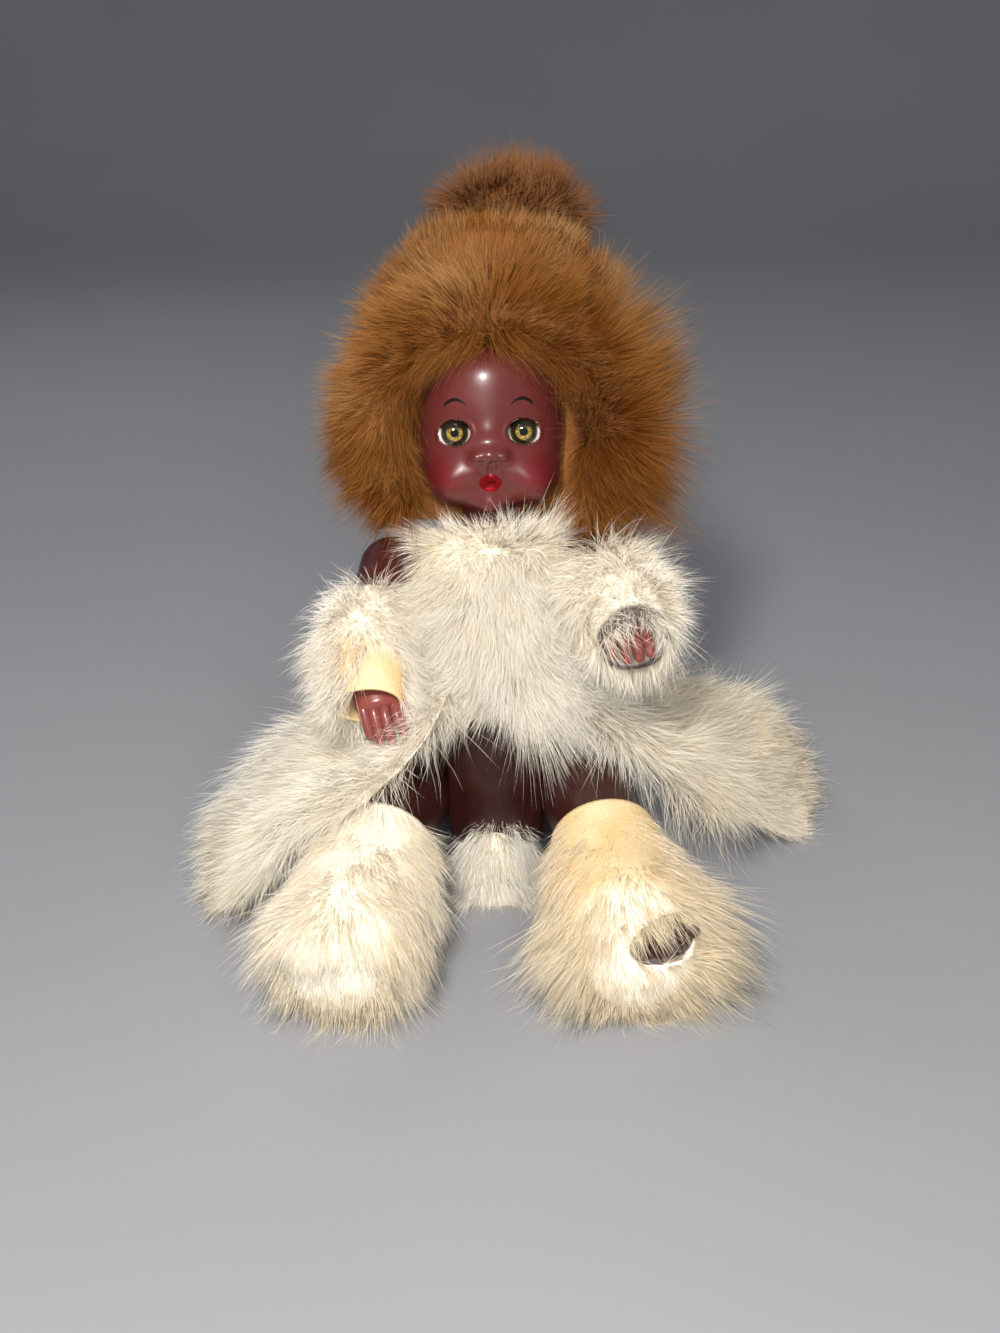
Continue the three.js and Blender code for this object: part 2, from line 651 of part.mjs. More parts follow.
function legSpine() {
  const reach = LEG_REACH;
  const r = THIGH_RADIUS;
  return [
    { at: [0, 0, 0], wide: 0.98 * r, deep: r },
    { at: [0, -0.26 * reach, 0.02 * reach], wide: 0.95 * r, deep: 0.95 * r },
    { at: [0, -0.54 * reach, 0.03 * reach], wide: 0.8 * r, deep: 0.8 * r },
    { at: [0, -0.78 * reach, -0.05 * reach], wide: 0.72 * r, deep: 0.7 * r },
    { at: [0, -0.97 * reach, -0.11 * reach], wide: 0.55 * r, deep: 0.56 * r },
    { at: [0, -1.07 * reach, -0.09 * reach], wide: 0.56 * r, deep: 0.6 * r },
  ];
}

function footSpine() {
  const reach = LEG_REACH;
  const r = THIGH_RADIUS;
  return [
    { at: [0, -1.03 * reach, -0.13 * reach], wide: 0.54 * r, deep: 0.5 * r },
    { at: [0.04 * reach, -1.1 * reach, -0.06 * reach], wide: 0.58 * r, deep: 0.44 * r },
    { at: [0.1 * reach, -1.17 * reach, 0], wide: 0.52 * r, deep: 0.34 * r },
  ];
}

function legForm(grow) {
  return swept(legSpine(), { steps: 7, sides: grow < 0 ? 8 : 12, domes: [0.9 * THIGH_RADIUS, 6], grow });
}

function footForm(grow) {
  return swept(footSpine(), { steps: 3, sides: 10, domes: [5, 5], grow });
}

// Window in the left boot through which the toes show.
function toeWindow() {
  const reach = LEG_REACH;
  const r = THIGH_RADIUS;
  const spine = [0.09, 0.2, 0.31].map((out) => ({
    at: [out * reach, -(1.07 + out) * reach, (-0.06 + 0.6 * out) * reach],
    wide: 0.56 * r,
    deep: 0.4 * r,
  }));
  return swept(spine, { steps: 2, sides: 10 });
}

function legPlace(side) {
  const place = new THREE.Matrix4().makeTranslation(side * hipMid, 0, 0);
  place.multiply(new THREE.Matrix4().makeRotationZ(side * rad(LEG_SPREAD)));
  place.multiply(new THREE.Matrix4().makeScale(side, 1, 1));
  return place;
}

// Fur boot from below the knee to past the toes, standing flat on the floor.
const bootTop = 0.52;

function bootForm(grow) {
  const reach = LEG_REACH;
  const r = THIGH_RADIUS;
  const p = BOOT_PILE;
  const spine = [
    { at: [0, -bootTop * reach, 0.02 * reach], wide: 0.82 * r + 0.4 * p, deep: 0.82 * r + 0.35 * p },
    { at: [0, -0.66 * reach, -0.03 * reach], wide: 0.78 * r + 0.9 * p, deep: 0.76 * r + 0.62 * p },
    { at: [0, -0.84 * reach, -0.07 * reach], wide: 0.72 * r + 1.1 * p, deep: 0.7 * r + 0.84 * p },
    { at: [0, -1.05 * reach, -0.08 * reach], wide: 0.64 * r + 1.1 * p, deep: 0.7 * r + 0.84 * p },
    { at: [0, -1.2 * reach, -0.09 * reach], wide: 0.52 * r + 0.9 * p, deep: 0.56 * r + 0.78 * p },
  ];
  return swept(spine, { steps: 6, sides: 16, domes: [0, 0.7 * p], grow });
}

for (const side of [1, -1]) {
  const name = side > 0 ? "left" : "right";
  const group = new THREE.Group();
  group.position.set(side * HIP_FACE, 0, HIP_HEIGHT);
  doll.add(group);
  const place = legPlace(side);
  const faceCut = [side, 0, 0];
  const whole = moved(legForm(0), place).add(moved(footForm(0), place)).trimByPlane(faceCut, GAP);
  const inside = moved(legForm(-WALL), place).trimByPlane(faceCut, GAP + WALL);
  const ankleCut = body(block([-FAR, -FAR, -FAR], [FAR, -0.9 * LEG_REACH, FAR]));
  const hole = body(barX(cordHole, -FAR, FAR, 12)).trimByPlane([-side, 0, 0], -hipMid);
  const shell = whole.subtract(inside.subtract(ankleCut)).subtract(hole);
  const normal = new THREE.Vector3(side, 0, 0).applyAxisAngle(Z, side * rad(LEG_SPREAD));
  const [outerHalf, innerHalf] = halves(shell, normal.toArray(), normal.x * side * hipMid);
  piece(group, `${name}_leg_outer`, outerHalf, limbPlastic);
  piece(group, `${name}_leg_inner`, innerHalf, limbPlastic);
  const from = GAP + WALL + GAP;
  const toggle = washerX(cordHole, TOGGLE_RADIUS, from, from + TOGGLE_LENGTH).scale(side, 1, 1);
  piece(group, `${name}_leg_toggle`, body(toggle), beech);
  const footRoom = moved(legForm(LINING_GAP), place).add(moved(footForm(LINING_GAP), place));
  const legRoom = side > 0 ? footRoom.add(moved(toeWindow(), place)) : footRoom;
  const boot = moved(bootForm(0), place).trimByPlane([0, 0, 1], -HIP_HEIGHT);
  const inwards = boot.trimByPlane(faceCut, TAIL_HALF_WIDTH + 2 * GAP - HIP_FACE);
  piece(group, `${name}_boot`, inwards.subtract(legRoom), creamFur);
}

// Fur hood: a thick ruff round the face, a deep crown behind it and a pompom on top.
const hoodHem = TORSO_TOP + 2.2 - HEAD_ABOVE_HIP;

function ruffForm(grow) {
  const w = HEAD_WIDTH / 2;
  const h = HEAD_HEIGHT / 2;
  const r = RUFF_RADIUS;
  const half = [
    { at: [0.5 * HOOD_SIDE + w * 0.8, -0.5 * w, -0.98 * h], wide: 0.8 * r, deep: 0.75 * r },
    { at: [0.62 * HOOD_SIDE + w, -0.48 * w, -0.45 * h], wide: 1.05 * r, deep: 0.95 * r },
    { at: [0.56 * HOOD_SIDE + w, -0.52 * w, 0.25 * h], wide: r, deep: 0.95 * r },
    { at: [0.62 * w + 0.42 * HOOD_SIDE, -0.6 * w, 0.85 * h], wide: r, deep: 0.95 * r },
    { at: [0, -0.66 * w, 0.85 * h + 0.42 * RUFF_RADIUS], wide: r, deep: r },
  ];
  const other = half.slice(0, -1).reverse().map((s) => ({ ...s, at: [-s.at[0], s.at[1], s.at[2]] }));
  return swept([...half, ...other], { across: Y, steps: 16, sides: 12, domes: [7, 7], grow });
}

function crownForm() {
  const w = HEAD_WIDTH / 2;
  const d = HEAD_DEPTH / 2;
  const h = HEAD_HEIGHT / 2;
  const side = w + 0.82 * HOOD_SIDE;
  const back = d + 0.72 * HOOD_SIDE;
  const spine = [
    { at: [0, 0.3 * d, -1.3 * h], wide: 0.9 * side, deep: 0.8 * back },
    { at: [0, 0.28 * d, -0.7 * h], wide: side, deep: 0.86 * back },
    { at: [0, 0.24 * d, 0.1 * h], wide: side, deep: 0.9 * back },
    { at: [0, 0.22 * d, 0.85 * h], wide: 0.97 * side, deep: 0.9 * back },
    { at: [0, 0.22 * d, h + 0.32 * HOOD_CROWN], wide: 0.88 * side, deep: 0.8 * back },
    { at: [0, 0.24 * d, h + 0.68 * HOOD_CROWN], wide: 0.68 * side, deep: 0.6 * back },
  ];
  return swept(spine, { steps: 7, sides: 18, domes: [0, 0.3 * HOOD_CROWN] });
}

const headRoom = body(headForm(-2.6 * LINING_GAP, 24, 17)).add(body(barZ(NECK_RADIUS + GAP, stubEnd, jaw, 14)));
const pompomAt = [8, 0.67 * HEAD_DEPTH, HEAD_HEIGHT / 2 + HOOD_CROWN];

function pompomForm(grow) {
  const geometry = new THREE.SphereGeometry(POMPOM_RADIUS + grow, 16, 11);
  geometry.scale(1.1, 1, 0.95);
  geometry.translate(...pompomAt);
  return body(geometry);
}

const ruff = body(ruffForm(0)).subtract(headRoom).trimByPlane([0, 0, 1], hoodHem);
piece(head, "hood_ruff", ruff, gingerFur);
const crown = body(crownForm())
  .subtract(body(ruffForm(GAP)))
  .subtract(headRoom)
  .subtract(pompomForm(GAP))
  .trimByPlane([0, 0, 1], hoodHem)
  .trimByPlane([0, 1, 0], -0.62 * HEAD_WIDTH / 2);
piece(head, "hood_crown", crown, paleGingerFur);
piece(head, "hood_pompom", pompomForm(0), pompomFur);

// Fur coat: front and back panels on the body, two flaps spread over the thighs, and the tail.
const torsoDepth = TORSO_HALF_WIDTH * TORSO_DEPTH_RATIO;

function coatForm(grow) {
  const half = COAT_HALF_WIDTH + 8;
  const spine = [
    { at: [0, 0, 0], wide: half, deep: torsoDepth + 1.05 * COAT_PILE },
    { at: [0, 0, 0.3 * TORSO_TOP], wide: half, deep: torsoDepth + 1.1 * COAT_PILE },
    { at: [0, 0, 0.6 * TORSO_TOP], wide: half, deep: torsoDepth + COAT_PILE },
    { at: [0, 0, 0.85 * TORSO_TOP], wide: half, deep: 0.86 * torsoDepth + 0.8 * COAT_PILE },
    { at: [0, 0, TORSO_TOP + 1.4], wide: 0.82 * half, deep: 0.7 * torsoDepth + 0.6 * COAT_PILE },
  ];
  return swept(spine, { steps: 7, sides: 20, grow });
}

const torsoRoom = body(torsoForm(LINING_GAP));
const neckRoom = body(barZ(NECK_RADIUS + WALL + 2 * GAP, -FAR, FAR, 24));

function coatFrontSolid(grow) {
  return body(coatForm(grow))
    .trimByPlane([0, -1, 0], GAP / 2 - grow)
    .trimByPlane([1, 0, 0], -COAT_HALF_WIDTH - grow)
    .trimByPlane([-1, 0, 0], -COAT_HALF_WIDTH - grow)
    .trimByPlane([0, 0, 1], COAT_FRONT_HEM - grow);
}

// Room about the shoulder for the arm to swing in.
function armRoomAbout(side) {
  const bar = barX(1.5 * ARM_RADIUS, SHOULDER_FACE - GAP, FAR, 20);
  bar.translate(0, 0, SHOULDER_HEIGHT);
  return bar.scale(side, 1, 1);
}

const armRooms = [1, -1].map((side) => body(armRoomAbout(side)));
const coatFront = [torsoRoom, neckRoom, ...armRooms].reduce(
  (rest, room) => rest.subtract(room),
  coatFrontSolid(0),
);
piece(torso, "coat_front", coatFront, creamFur);

// Back panel, flaring from the waist to the floor behind the seat.
torso.updateMatrix();
const leaned = (geometry) => moved(geometry, torso.matrix);
const backWay = new THREE.Vector3(0, 1, 0).applyAxisAngle(X, -rad(TORSO_LEAN));
const backFrom = backWay.z * HIP_HEIGHT + GAP / 2;

function coatBackForm(grow) {
  const half = COAT_HALF_WIDTH + 8;
  const low = torsoDepth + COAT_PILE;
  const spine = [
    { at: [0, 0, -0.42 * TORSO_TOP], wide: 1.36 * half, deep: 1.12 * SKIRT_BACK },
    { at: [0, 0, -0.14 * TORSO_TOP], wide: 1.3 * half, deep: 1.06 * SKIRT_BACK },
    { at: [0, 0, 0.12 * TORSO_TOP], wide: 1.14 * half, deep: 0.5 * (low + 1.05 * SKIRT_BACK) },
    { at: [0, 0, 0.36 * TORSO_TOP], wide: half, deep: 1.06 * low },
    { at: [0, 0, 0.62 * TORSO_TOP], wide: half, deep: low },
    { at: [0, 0, 0.85 * TORSO_TOP], wide: half, deep: 0.86 * torsoDepth + 0.9 * COAT_PILE },
    { at: [0, 0, TORSO_TOP + 1.4], wide: 0.82 * half, deep: 0.7 * torsoDepth + 0.7 * COAT_PILE },
  ];
  return swept(spine, { steps: 10, sides: 22, grow });
}

// Space swept by a thigh between sitting and standing.
function thighSweep(side) {
  const outside = HIP_FACE + 2 * THIGH_RADIUS + 6;
  const round = barX(thighRoom, HIP_FACE - GAP, outside, 20).translate(0, 0, HIP_HEIGHT);
  const below = block([HIP_FACE - GAP, -FAR, -FAR], [outside, thighRoom, HIP_HEIGHT]);
  return [round, below]
    .map((part) => body(part.scale(side, 1, 1)))
    .reduce((sum, part) => sum.add(part));
}

function coatBackSolid(grow) {
  return leaned(coatBackForm(grow))
    .trimByPlane(backWay.toArray(), backFrom - grow)
    .trimByPlane([0, 0, 1], 0);
}

const leanedTorso = leaned(torsoForm(LINING_GAP));
const leanedNeck = leaned(barZ(NECK_RADIUS + WALL + 2 * GAP, 0, FAR, 24));

const sweeps = [1, -1].flatMap((side) => [thighSweep(side), leaned(armRoomAbout(side))]);
const coatBack = [leanedTorso, leanedNeck, ...sweeps].reduce(
  (rest, room) => rest.subtract(room),
  coatBackSolid(0),
);
piece(doll, "coat_back", coatBack, creamFur);

// Tail of the back panel drawn forward under the seat and between the legs.
function tailForm(grow) {
  const spine = [
    { at: [0, 0.5 * TAIL_LENGTH, 0], wide: TAIL_HALF_WIDTH, deep: 0.32 * HIP_HEIGHT },
    { at: [0, 0, 0], wide: TAIL_HALF_WIDTH, deep: 0.36 * HIP_HEIGHT },
    { at: [0, -0.6 * TAIL_LENGTH, 0], wide: TAIL_HALF_WIDTH, deep: 0.5 * HIP_HEIGHT },
    { at: [0, -TAIL_LENGTH, 0], wide: 0.9 * TAIL_HALF_WIDTH, deep: 0.34 * HIP_HEIGHT },
  ];
  return body(swept(spine, { steps: 8, sides: 20, domes: [0, 4], grow })).trimByPlane([0, 0, 1], 0);
}

const backKeep = coatBackSolid(GAP);
piece(doll, "coat_tail", tailForm(0).subtract(leanedTorso).subtract(backKeep), creamFur);

// Side flaps: the right one lies forward over the thigh and the boot, the left one spreads out and back.
const flapRoot = HIP_HEIGHT + 0.46 * TORSO_TOP;
const flapOver = HIP_HEIGHT + THIGH_RADIUS + FLAP_THICKNESS + 4;

function flapForm(side) {
  const hip = HIP_FACE + hipMid;
  const out = LEG_REACH;
  const tip = side > 0 ? 0.92 : 0.78;
  const sag = side > 0 ? 0 : 8;
  const back = side > 0 ? [0, -0.01, 0.01, 0.14, 0.21] : [-0.09, -0.17, -0.27, -0.36, -0.41];
  const wide = side > 0 ? [1.05, 1.5, 1.8, 1.7, 1.35] : [1.1, 1.45, 1.6, 1.55, 1.3];
  const spine = [
    { x: 0.7 * COAT_HALF_WIDTH, z: flapRoot, tilt: 0 },
    { x: hip + 13, z: flapOver - sag, tilt: 0 },
    { x: 0.36 * out + hip, z: 0.82 * flapOver, tilt: 14 },
    { x: 0.8 * tip * out + hip, z: 0.44 * flapOver, tilt: 26 },
    { x: tip * out + hip, z: 0.14 * flapOver, tilt: 20 },
  ];
  const sized = spine.map((s, i) => ({
    at: [side * s.x, back[i] * out, s.z],
    wide: wide[i] * THIGH_RADIUS,
    deep: FLAP_THICKNESS,
    tilt: side * s.tilt,
  }));
  return swept(sized, { across: Y, steps: 9, sides: 14, domes: [0, 4] });
}

// Room that a leg and its boot take when the leg is lifted as far as it goes.
function liftedLegRoom(side) {
  const lift = new THREE.Matrix4().makeTranslation(side * HIP_FACE, 0, HIP_HEIGHT);
  lift.multiply(new THREE.Matrix4().makeRotationX(-rad(HIP_LIFT))).multiply(legPlace(side));
  return moved(bootForm(2 * GAP), lift).add(moved(legForm(2 * GAP), lift));
}

const frontKeep = moved(geometryOf(coatFrontSolid(GAP)), torso.matrix);
for (const side of [1, -1]) {
  const name = side > 0 ? "coat_left_flap" : "coat_right_flap";
  const flap = [frontKeep, backKeep, leanedTorso, thighSweep(side), liftedLegRoom(side)].reduce(
    (rest, room) => rest.subtract(room),
    body(flapForm(side)).trimByPlane([0, 0, 1], 0),
  );
  piece(doll, name, flap, creamFur);
}

export default doll;
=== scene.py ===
import math

import bpy
import numpy as np
from bpy.props import FloatProperty, FloatVectorProperty, PointerProperty
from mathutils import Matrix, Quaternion, Vector


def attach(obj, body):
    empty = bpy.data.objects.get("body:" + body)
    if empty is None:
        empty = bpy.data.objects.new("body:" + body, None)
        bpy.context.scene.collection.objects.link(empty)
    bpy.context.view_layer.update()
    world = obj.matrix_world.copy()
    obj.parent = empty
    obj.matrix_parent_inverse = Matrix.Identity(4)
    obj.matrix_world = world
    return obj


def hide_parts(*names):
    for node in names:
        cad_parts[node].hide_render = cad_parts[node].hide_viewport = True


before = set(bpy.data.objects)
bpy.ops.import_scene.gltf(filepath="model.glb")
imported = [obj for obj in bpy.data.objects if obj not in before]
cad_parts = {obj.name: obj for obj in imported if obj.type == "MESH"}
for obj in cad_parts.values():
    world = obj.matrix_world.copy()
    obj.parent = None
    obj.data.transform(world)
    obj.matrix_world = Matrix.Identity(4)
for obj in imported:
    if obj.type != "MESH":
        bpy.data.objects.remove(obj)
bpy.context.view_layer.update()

bl_info = {
    "name": "Fur-dressed doll",
    "version": (1, 0, 0),
    "blender": (4, 5, 0),
    "location": "3D View > Sidebar > Fur Doll",
    "description": "Moulded doll with rocking amber eyes in a fur hood, coat and boots",
    "category": "Add Mesh",
}

# Lengths are millimetres and angles degrees in the doll's own frame: Z up, the face looks along -Y, and the
# doll's left is +X. Pairs keyed by 1 and -1 are for the left and the right side.
MM = 0.001
SIDES = {1: "left", -1: "right"}
X, Y, Z = np.eye(3)
DOWN = -Z
HIP_HEIGHT, HIP_FACE = 32.0, 17.0
TORSO_LEAN, TORSO_TOP, TORSO_HALF = 16.0, 94.0, 33.0
SHOULDER = (27.0, 79.0)
ARM_RADIUS, ARM_REACH, ARM_SPREAD = 12.5, 60.0, 11.0
ARM_LIFT = {1: 73.0, -1: 46.0}
HAND_IN = {1: 0.02, -1: 0.17}
THIGH_RADIUS, LEG_REACH, LEG_SPREAD = 18.0, 96.0, 9.0
ARM_OFF, LEG_OFF = 0.8 * ARM_RADIUS, 0.78 * THIGH_RADIUS  # from a socket out to the limb's spine
HEAD_HALF = np.array([28.5, 30.0, 34.0])
HEAD_ABOVE_HIP, HEAD_TURN = 135.0, 3.0
EYE_AT, EYE_RADIUS = np.array([12.2, -18.612, -6.0]), 7.2
LID_HALF = np.array([5.6, 4.35])
POMPOM_AT = np.array([8.0, 40.2, 73.0])
DOME_RINGS, DOME_TURN = 8, 0.485 * np.pi  # rings of a tube's rounded end, and how far they turn in


# Small mathematics

def unit(v):
    """Vectors scaled to length one."""
    return v / np.maximum(np.linalg.norm(v, axis=-1, keepdims=True), 1e-9)


def ramp(x, low, high):
    """0 at low and 1 at high, with an even S between; low may be the larger."""
    t = np.clip((x - low) / (high - low), 0.0, 1.0)
    return t * t * (3.0 - 2.0 * t)


def hump(x, at, size):
    """Bell of height one about a value."""
    return np.exp(-(((x - at) / size) ** 2))


def tinted(colour, share):
    """Colour made darker or lighter by a share."""
    return tuple(share * c for c in colour)


def joined(*parts):
    """Points from their x, y and z, each given over rows, columns or both."""
    return np.stack(np.broadcast_arrays(*parts), -1)


def round_angles(count):
    """Angles evenly round a circle."""
    return np.linspace(0, 2 * np.pi, count, endpoint=False)


def ball_ways(drop, swing):
    """Directions from a ball's middle: dropped from its pole by one angle and swung round it by the other."""
    return joined(np.sin(drop) * np.cos(swing), np.sin(drop) * np.sin(swing), np.cos(drop))


def turn(axis, degrees):
    """Rotation about one of the axes X, Y, Z, numbered 0 to 2."""
    c, s = math.cos(math.radians(degrees)), math.sin(math.radians(degrees))
    m = np.eye(3)
    a, b = [(1, 2), (2, 0), (0, 1)][axis]
    m[a, a], m[b, b], m[a, b], m[b, a] = c, c, -s, s
    return m


def place(origin, rotation=np.eye(3)):
    """Placing of a part: a rotation followed by a move."""
    m = np.eye(4)
    m[:3, :3] = rotation
    m[:3, 3] = origin
    return m


def carry(matrix, points):
    """Points taken through a placing."""
    return points @ matrix[:3, :3].T + matrix[:3, 3]


def in_part(matrix, points):
    """Points of the doll's frame in the own frame of a placed part."""
    return (points - matrix[:3, 3]) @ matrix[:3, :3]


TORSO = place((0, 0, HIP_HEIGHT), turn(0, -TORSO_LEAN))
HEAD = TORSO @ place((0, 0, HEAD_ABOVE_HIP), turn(2, HEAD_TURN))


def arm_place(side):
    """Shoulder socket, lift of the arm, splay and mirror."""
    lift = place((side * SHOULDER[0], 0, SHOULDER[1]), turn(0, -ARM_LIFT[side]))
    splay = place((side * ARM_OFF, 0, 0), turn(1, -side * ARM_SPREAD) @ np.diag([side, 1, 1]))
    return TORSO @ lift @ splay


def leg_place(side):
    """Hip socket, splay and mirror."""
    splay = turn(2, side * LEG_SPREAD) @ np.diag([side, 1, 1])
    return place((side * HIP_FACE, 0, HIP_HEIGHT)) @ place((side * LEG_OFF, 0, 0), splay)


def through(stations, count):
    """Smooth line through stations: a Catmull-Rom cubic between neighbours, sampled evenly."""
    s = np.asarray(stations, float)
    t = np.linspace(0, len(s) - 1, count)
    i = np.minimum(t.astype(int), len(s) - 2)
    f = (t - i)[:, None]
    padded = np.vstack([2 * s[0] - s[1], s, 2 * s[-1] - s[-2]])
    a, b, c, d = (padded[i + k] for k in range(4))
    square, cube = 2 * a - 5 * b + 4 * c - d, 3 * b - a - 3 * c + d
    return 0.5 * (2 * b + (c - a) * f + square * f**2 + cube * f**3)


def tube(stations, across, rows, columns, ends=(0.0, 0.0), grow=(0.0, 0.0)):
    """Oval rings carried along a smooth spine.

    A station is x, y, z, half width, half depth and twist in degrees. The half width lies along the part of
    `across` that is square to the spine. An end with a height above 0 is drawn in over an elliptic dome.
    """
    line = through([tuple(s) + (0.0,) * (6 - len(s)) for s in stations], rows)
    centre, wide, deep = line[:, :3], line[:, 3] + grow[0], line[:, 4] + grow[1]
    along = unit(np.gradient(centre, axis=0))
    shrink = np.ones(rows)
    bend = np.linspace(0.0, DOME_TURN, DOME_RINGS + 1)[1:]
    if ends[0] > 0:
        centre = np.vstack([centre[:1] - along[:1] * (ends[0] * np.sin(bend))[::-1, None], centre])
        shrink = np.concatenate([np.cos(bend)[::-1], shrink])
    if ends[1] > 0:
        centre = np.vstack([centre, centre[-1:] + along[-1:] * (ends[1] * np.sin(bend))[:, None]])
        shrink = np.concatenate([shrink, np.cos(bend)])
    pad = [DOME_RINGS if height > 0 else 0 for height in ends]
    along = np.pad(along, (pad, (0, 0)), mode="edge")
    wide, deep, twist = (np.pad(x, pad, mode="edge") for x in (wide, deep, np.radians(line[:, 5])))
    across = np.asarray(across, float)
    u = unit(across - (along @ across)[:, None] * along)
    u = u * np.cos(twist)[:, None] + np.cross(along, u) * np.sin(twist)[:, None]
    v = np.cross(along, u)
    angle = round_angles(columns)
    out = u[:, None] * (wide * shrink)[:, None, None] * np.cos(angle)[None, :, None]
    out = out + v[:, None] * (deep * shrink)[:, None, None] * np.sin(angle)[None, :, None]
    return centre[:, None] + out


def walled(grid, rim, thickness, depth_rows):
    """Tube wall with a real thickness: the rings, and some of them again drawn inwards from one rim."""
    middle = grid.mean(axis=1, keepdims=True)
    ray = grid - middle
    inner = middle + ray * (1.0 - thickness / np.linalg.norm(ray, axis=2, keepdims=True))
    if rim == "first":
        return np.concatenate([inner[:depth_rows][::-1], grid])
    return np.concatenate([grid, inner[-depth_rows:][::-1]])


# Meshes

def grid_faces(rows, columns, wrap):
    """Four-sided faces of a grid, joined round its columns where it wraps."""
    r, c = np.meshgrid(np.arange(rows - 1), np.arange(columns if wrap else columns - 1), indexing="ij")
    d = (c + 1) % columns
    quads = np.stack([r * columns + c, r * columns + d, (r + 1) * columns + d, (r + 1) * columns + c], -1)
    return quads.reshape(-1, 4)


def lies_inside_out(points, faces):
    """True where the faces of a closed form enclose a volume below zero."""
    total = 0.0
    for f in faces:
        for k in range(1, f.shape[1] - 1):
            a, b, c = points[f[:, 0]], points[f[:, k]], points[f[:, k + 1]]
            total += np.einsum("ij,ij->", a, np.cross(b, c))
    return total < 0


def mesh_of(name, points, faces, uv=None):
    """Mesh from points in millimetres and arrays of faces of one size each.

    Where a map is given, uv holds a place for every corner.
    """
    mesh = bpy.data.meshes.new(name)
    totals = np.concatenate([np.full(len(f), f.shape[1], np.int32) for f in faces])
    corners = np.concatenate([f.ravel() for f in faces]).astype(np.int32)
    mesh.vertices.add(len(points))
    mesh.vertices.foreach_set("co", (points * MM).astype(np.float32).ravel())
    mesh.loops.add(len(corners))
    mesh.loops.foreach_set("vertex_index", corners)
    mesh.polygons.add(len(totals))
    starts = np.concatenate([[0], np.cumsum(totals)[:-1]]).astype(np.int32)
    mesh.polygons.foreach_set("loop_start", starts)
    mesh.polygons.foreach_set("loop_total", totals)
    if uv is not None:
        layer = mesh.uv_layers.new(name=HAIR_MAP)
        layer.data.foreach_set("uv", uv.astype(np.float32).ravel())
    mesh.update(calc_edges=True)
    mesh.validate()
    mesh.shade_smooth()
    return mesh


def piece(name, mesh, finish, body, replaces):
    """Object at the origin that wears a finish, rides on a body of the doll and may stand for nodes."""
    mesh.materials.append(finish)
    made = bpy.data.objects.new(name, mesh)
    bpy.context.scene.collection.objects.link(made)
    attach(made, body)
    if replaces:
        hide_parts(*replaces)
    return made


def shells(name, grids):
    """Mesh of closed tubes, each a ring grid closed at both ends by a small face, turned outwards."""
    points, faces, start = [], [], 0
    for grid in grids:
        rows, columns = grid.shape[:2]
        flat = grid.reshape(-1, 3)
        own = [grid_faces(rows, columns, True), np.arange(columns)[::-1][None]]
        own.append(((rows - 1) * columns + np.arange(columns))[None])
        if lies_inside_out(flat, own):
            own = [f[:, ::-1] for f in own]
        points.append(flat)
        faces.extend(f + start for f in own)
        start += len(flat)
    return mesh_of(name, np.concatenate(points), faces)


def shell_piece(name, grids, finish, body, replaces):
    """Piece of closed tubes."""
    return piece(name, shells(name, grids), finish, body, replaces)


def open_sheet(name, grid, normal_from):
    """Mesh of one open sheet whose faces look away from a point."""
    rows, columns = grid.shape[:2]
    flat, quads = grid.reshape(-1, 3), grid_faces(rows, columns, False)
    a, b, d = (flat[quads[:, k]] for k in (0, 1, 3))
    if np.einsum("ij,ij->", np.cross(b - a, d - a), a - np.asarray(normal_from, float)) < 0:
        quads = quads[:, ::-1]
    return mesh_of(name, flat, [quads])


# Hair
#
# A groom is a table that says how the hair of one pelt lies:
#   comb    direction of the hair, from points, normals and the pelt's own direction along its rows
#   under   length of the undercoat          guard   length of the guard hairs
#   lift    share of the normal in the direction, at the root and at the tip
#   droop   pull of the hair's weight        ruffle  disorder
#   pull    draw of a tip to its lock        tone    from 0, dark, to 1, light
#   hairs   numbers of both kinds of hair    seed    start of the random draws
# and, where needed, trim, a share of the length, where, a share of the number, and proud, which makes guard
# hairs droop and pale. Trim and where take points and normals, and so may lift and droop.

HAIR_MAP = "OFBake"
MAP_SIDE = 0.006  # breadth of one side of a hair on the map
LOCK_SIZE = 7.0  # spacing of the locks
ROOT_DEPTH, FLOOR_GAP = 0.8, 0.25  # depth of the roots in the hide, and lowest height of a hair
LENGTH_SPREAD, WIDTH_SPREAD = (0.72, 1.18), (0.7, 1.25)
LOCK_TONE, HAIR_TONE = 0.34, 0.11  # how much the tone varies from lock to lock and from hair to hair
RADIUS_PER_WIDTH = 500.0  # a radius in millimetres, from a width in metres
WAVES = np.array([(1, 0.6, 0.3), (0.2, 1, -0.7), (-0.5, 0.4, 1)])  # slants of the waves of sway


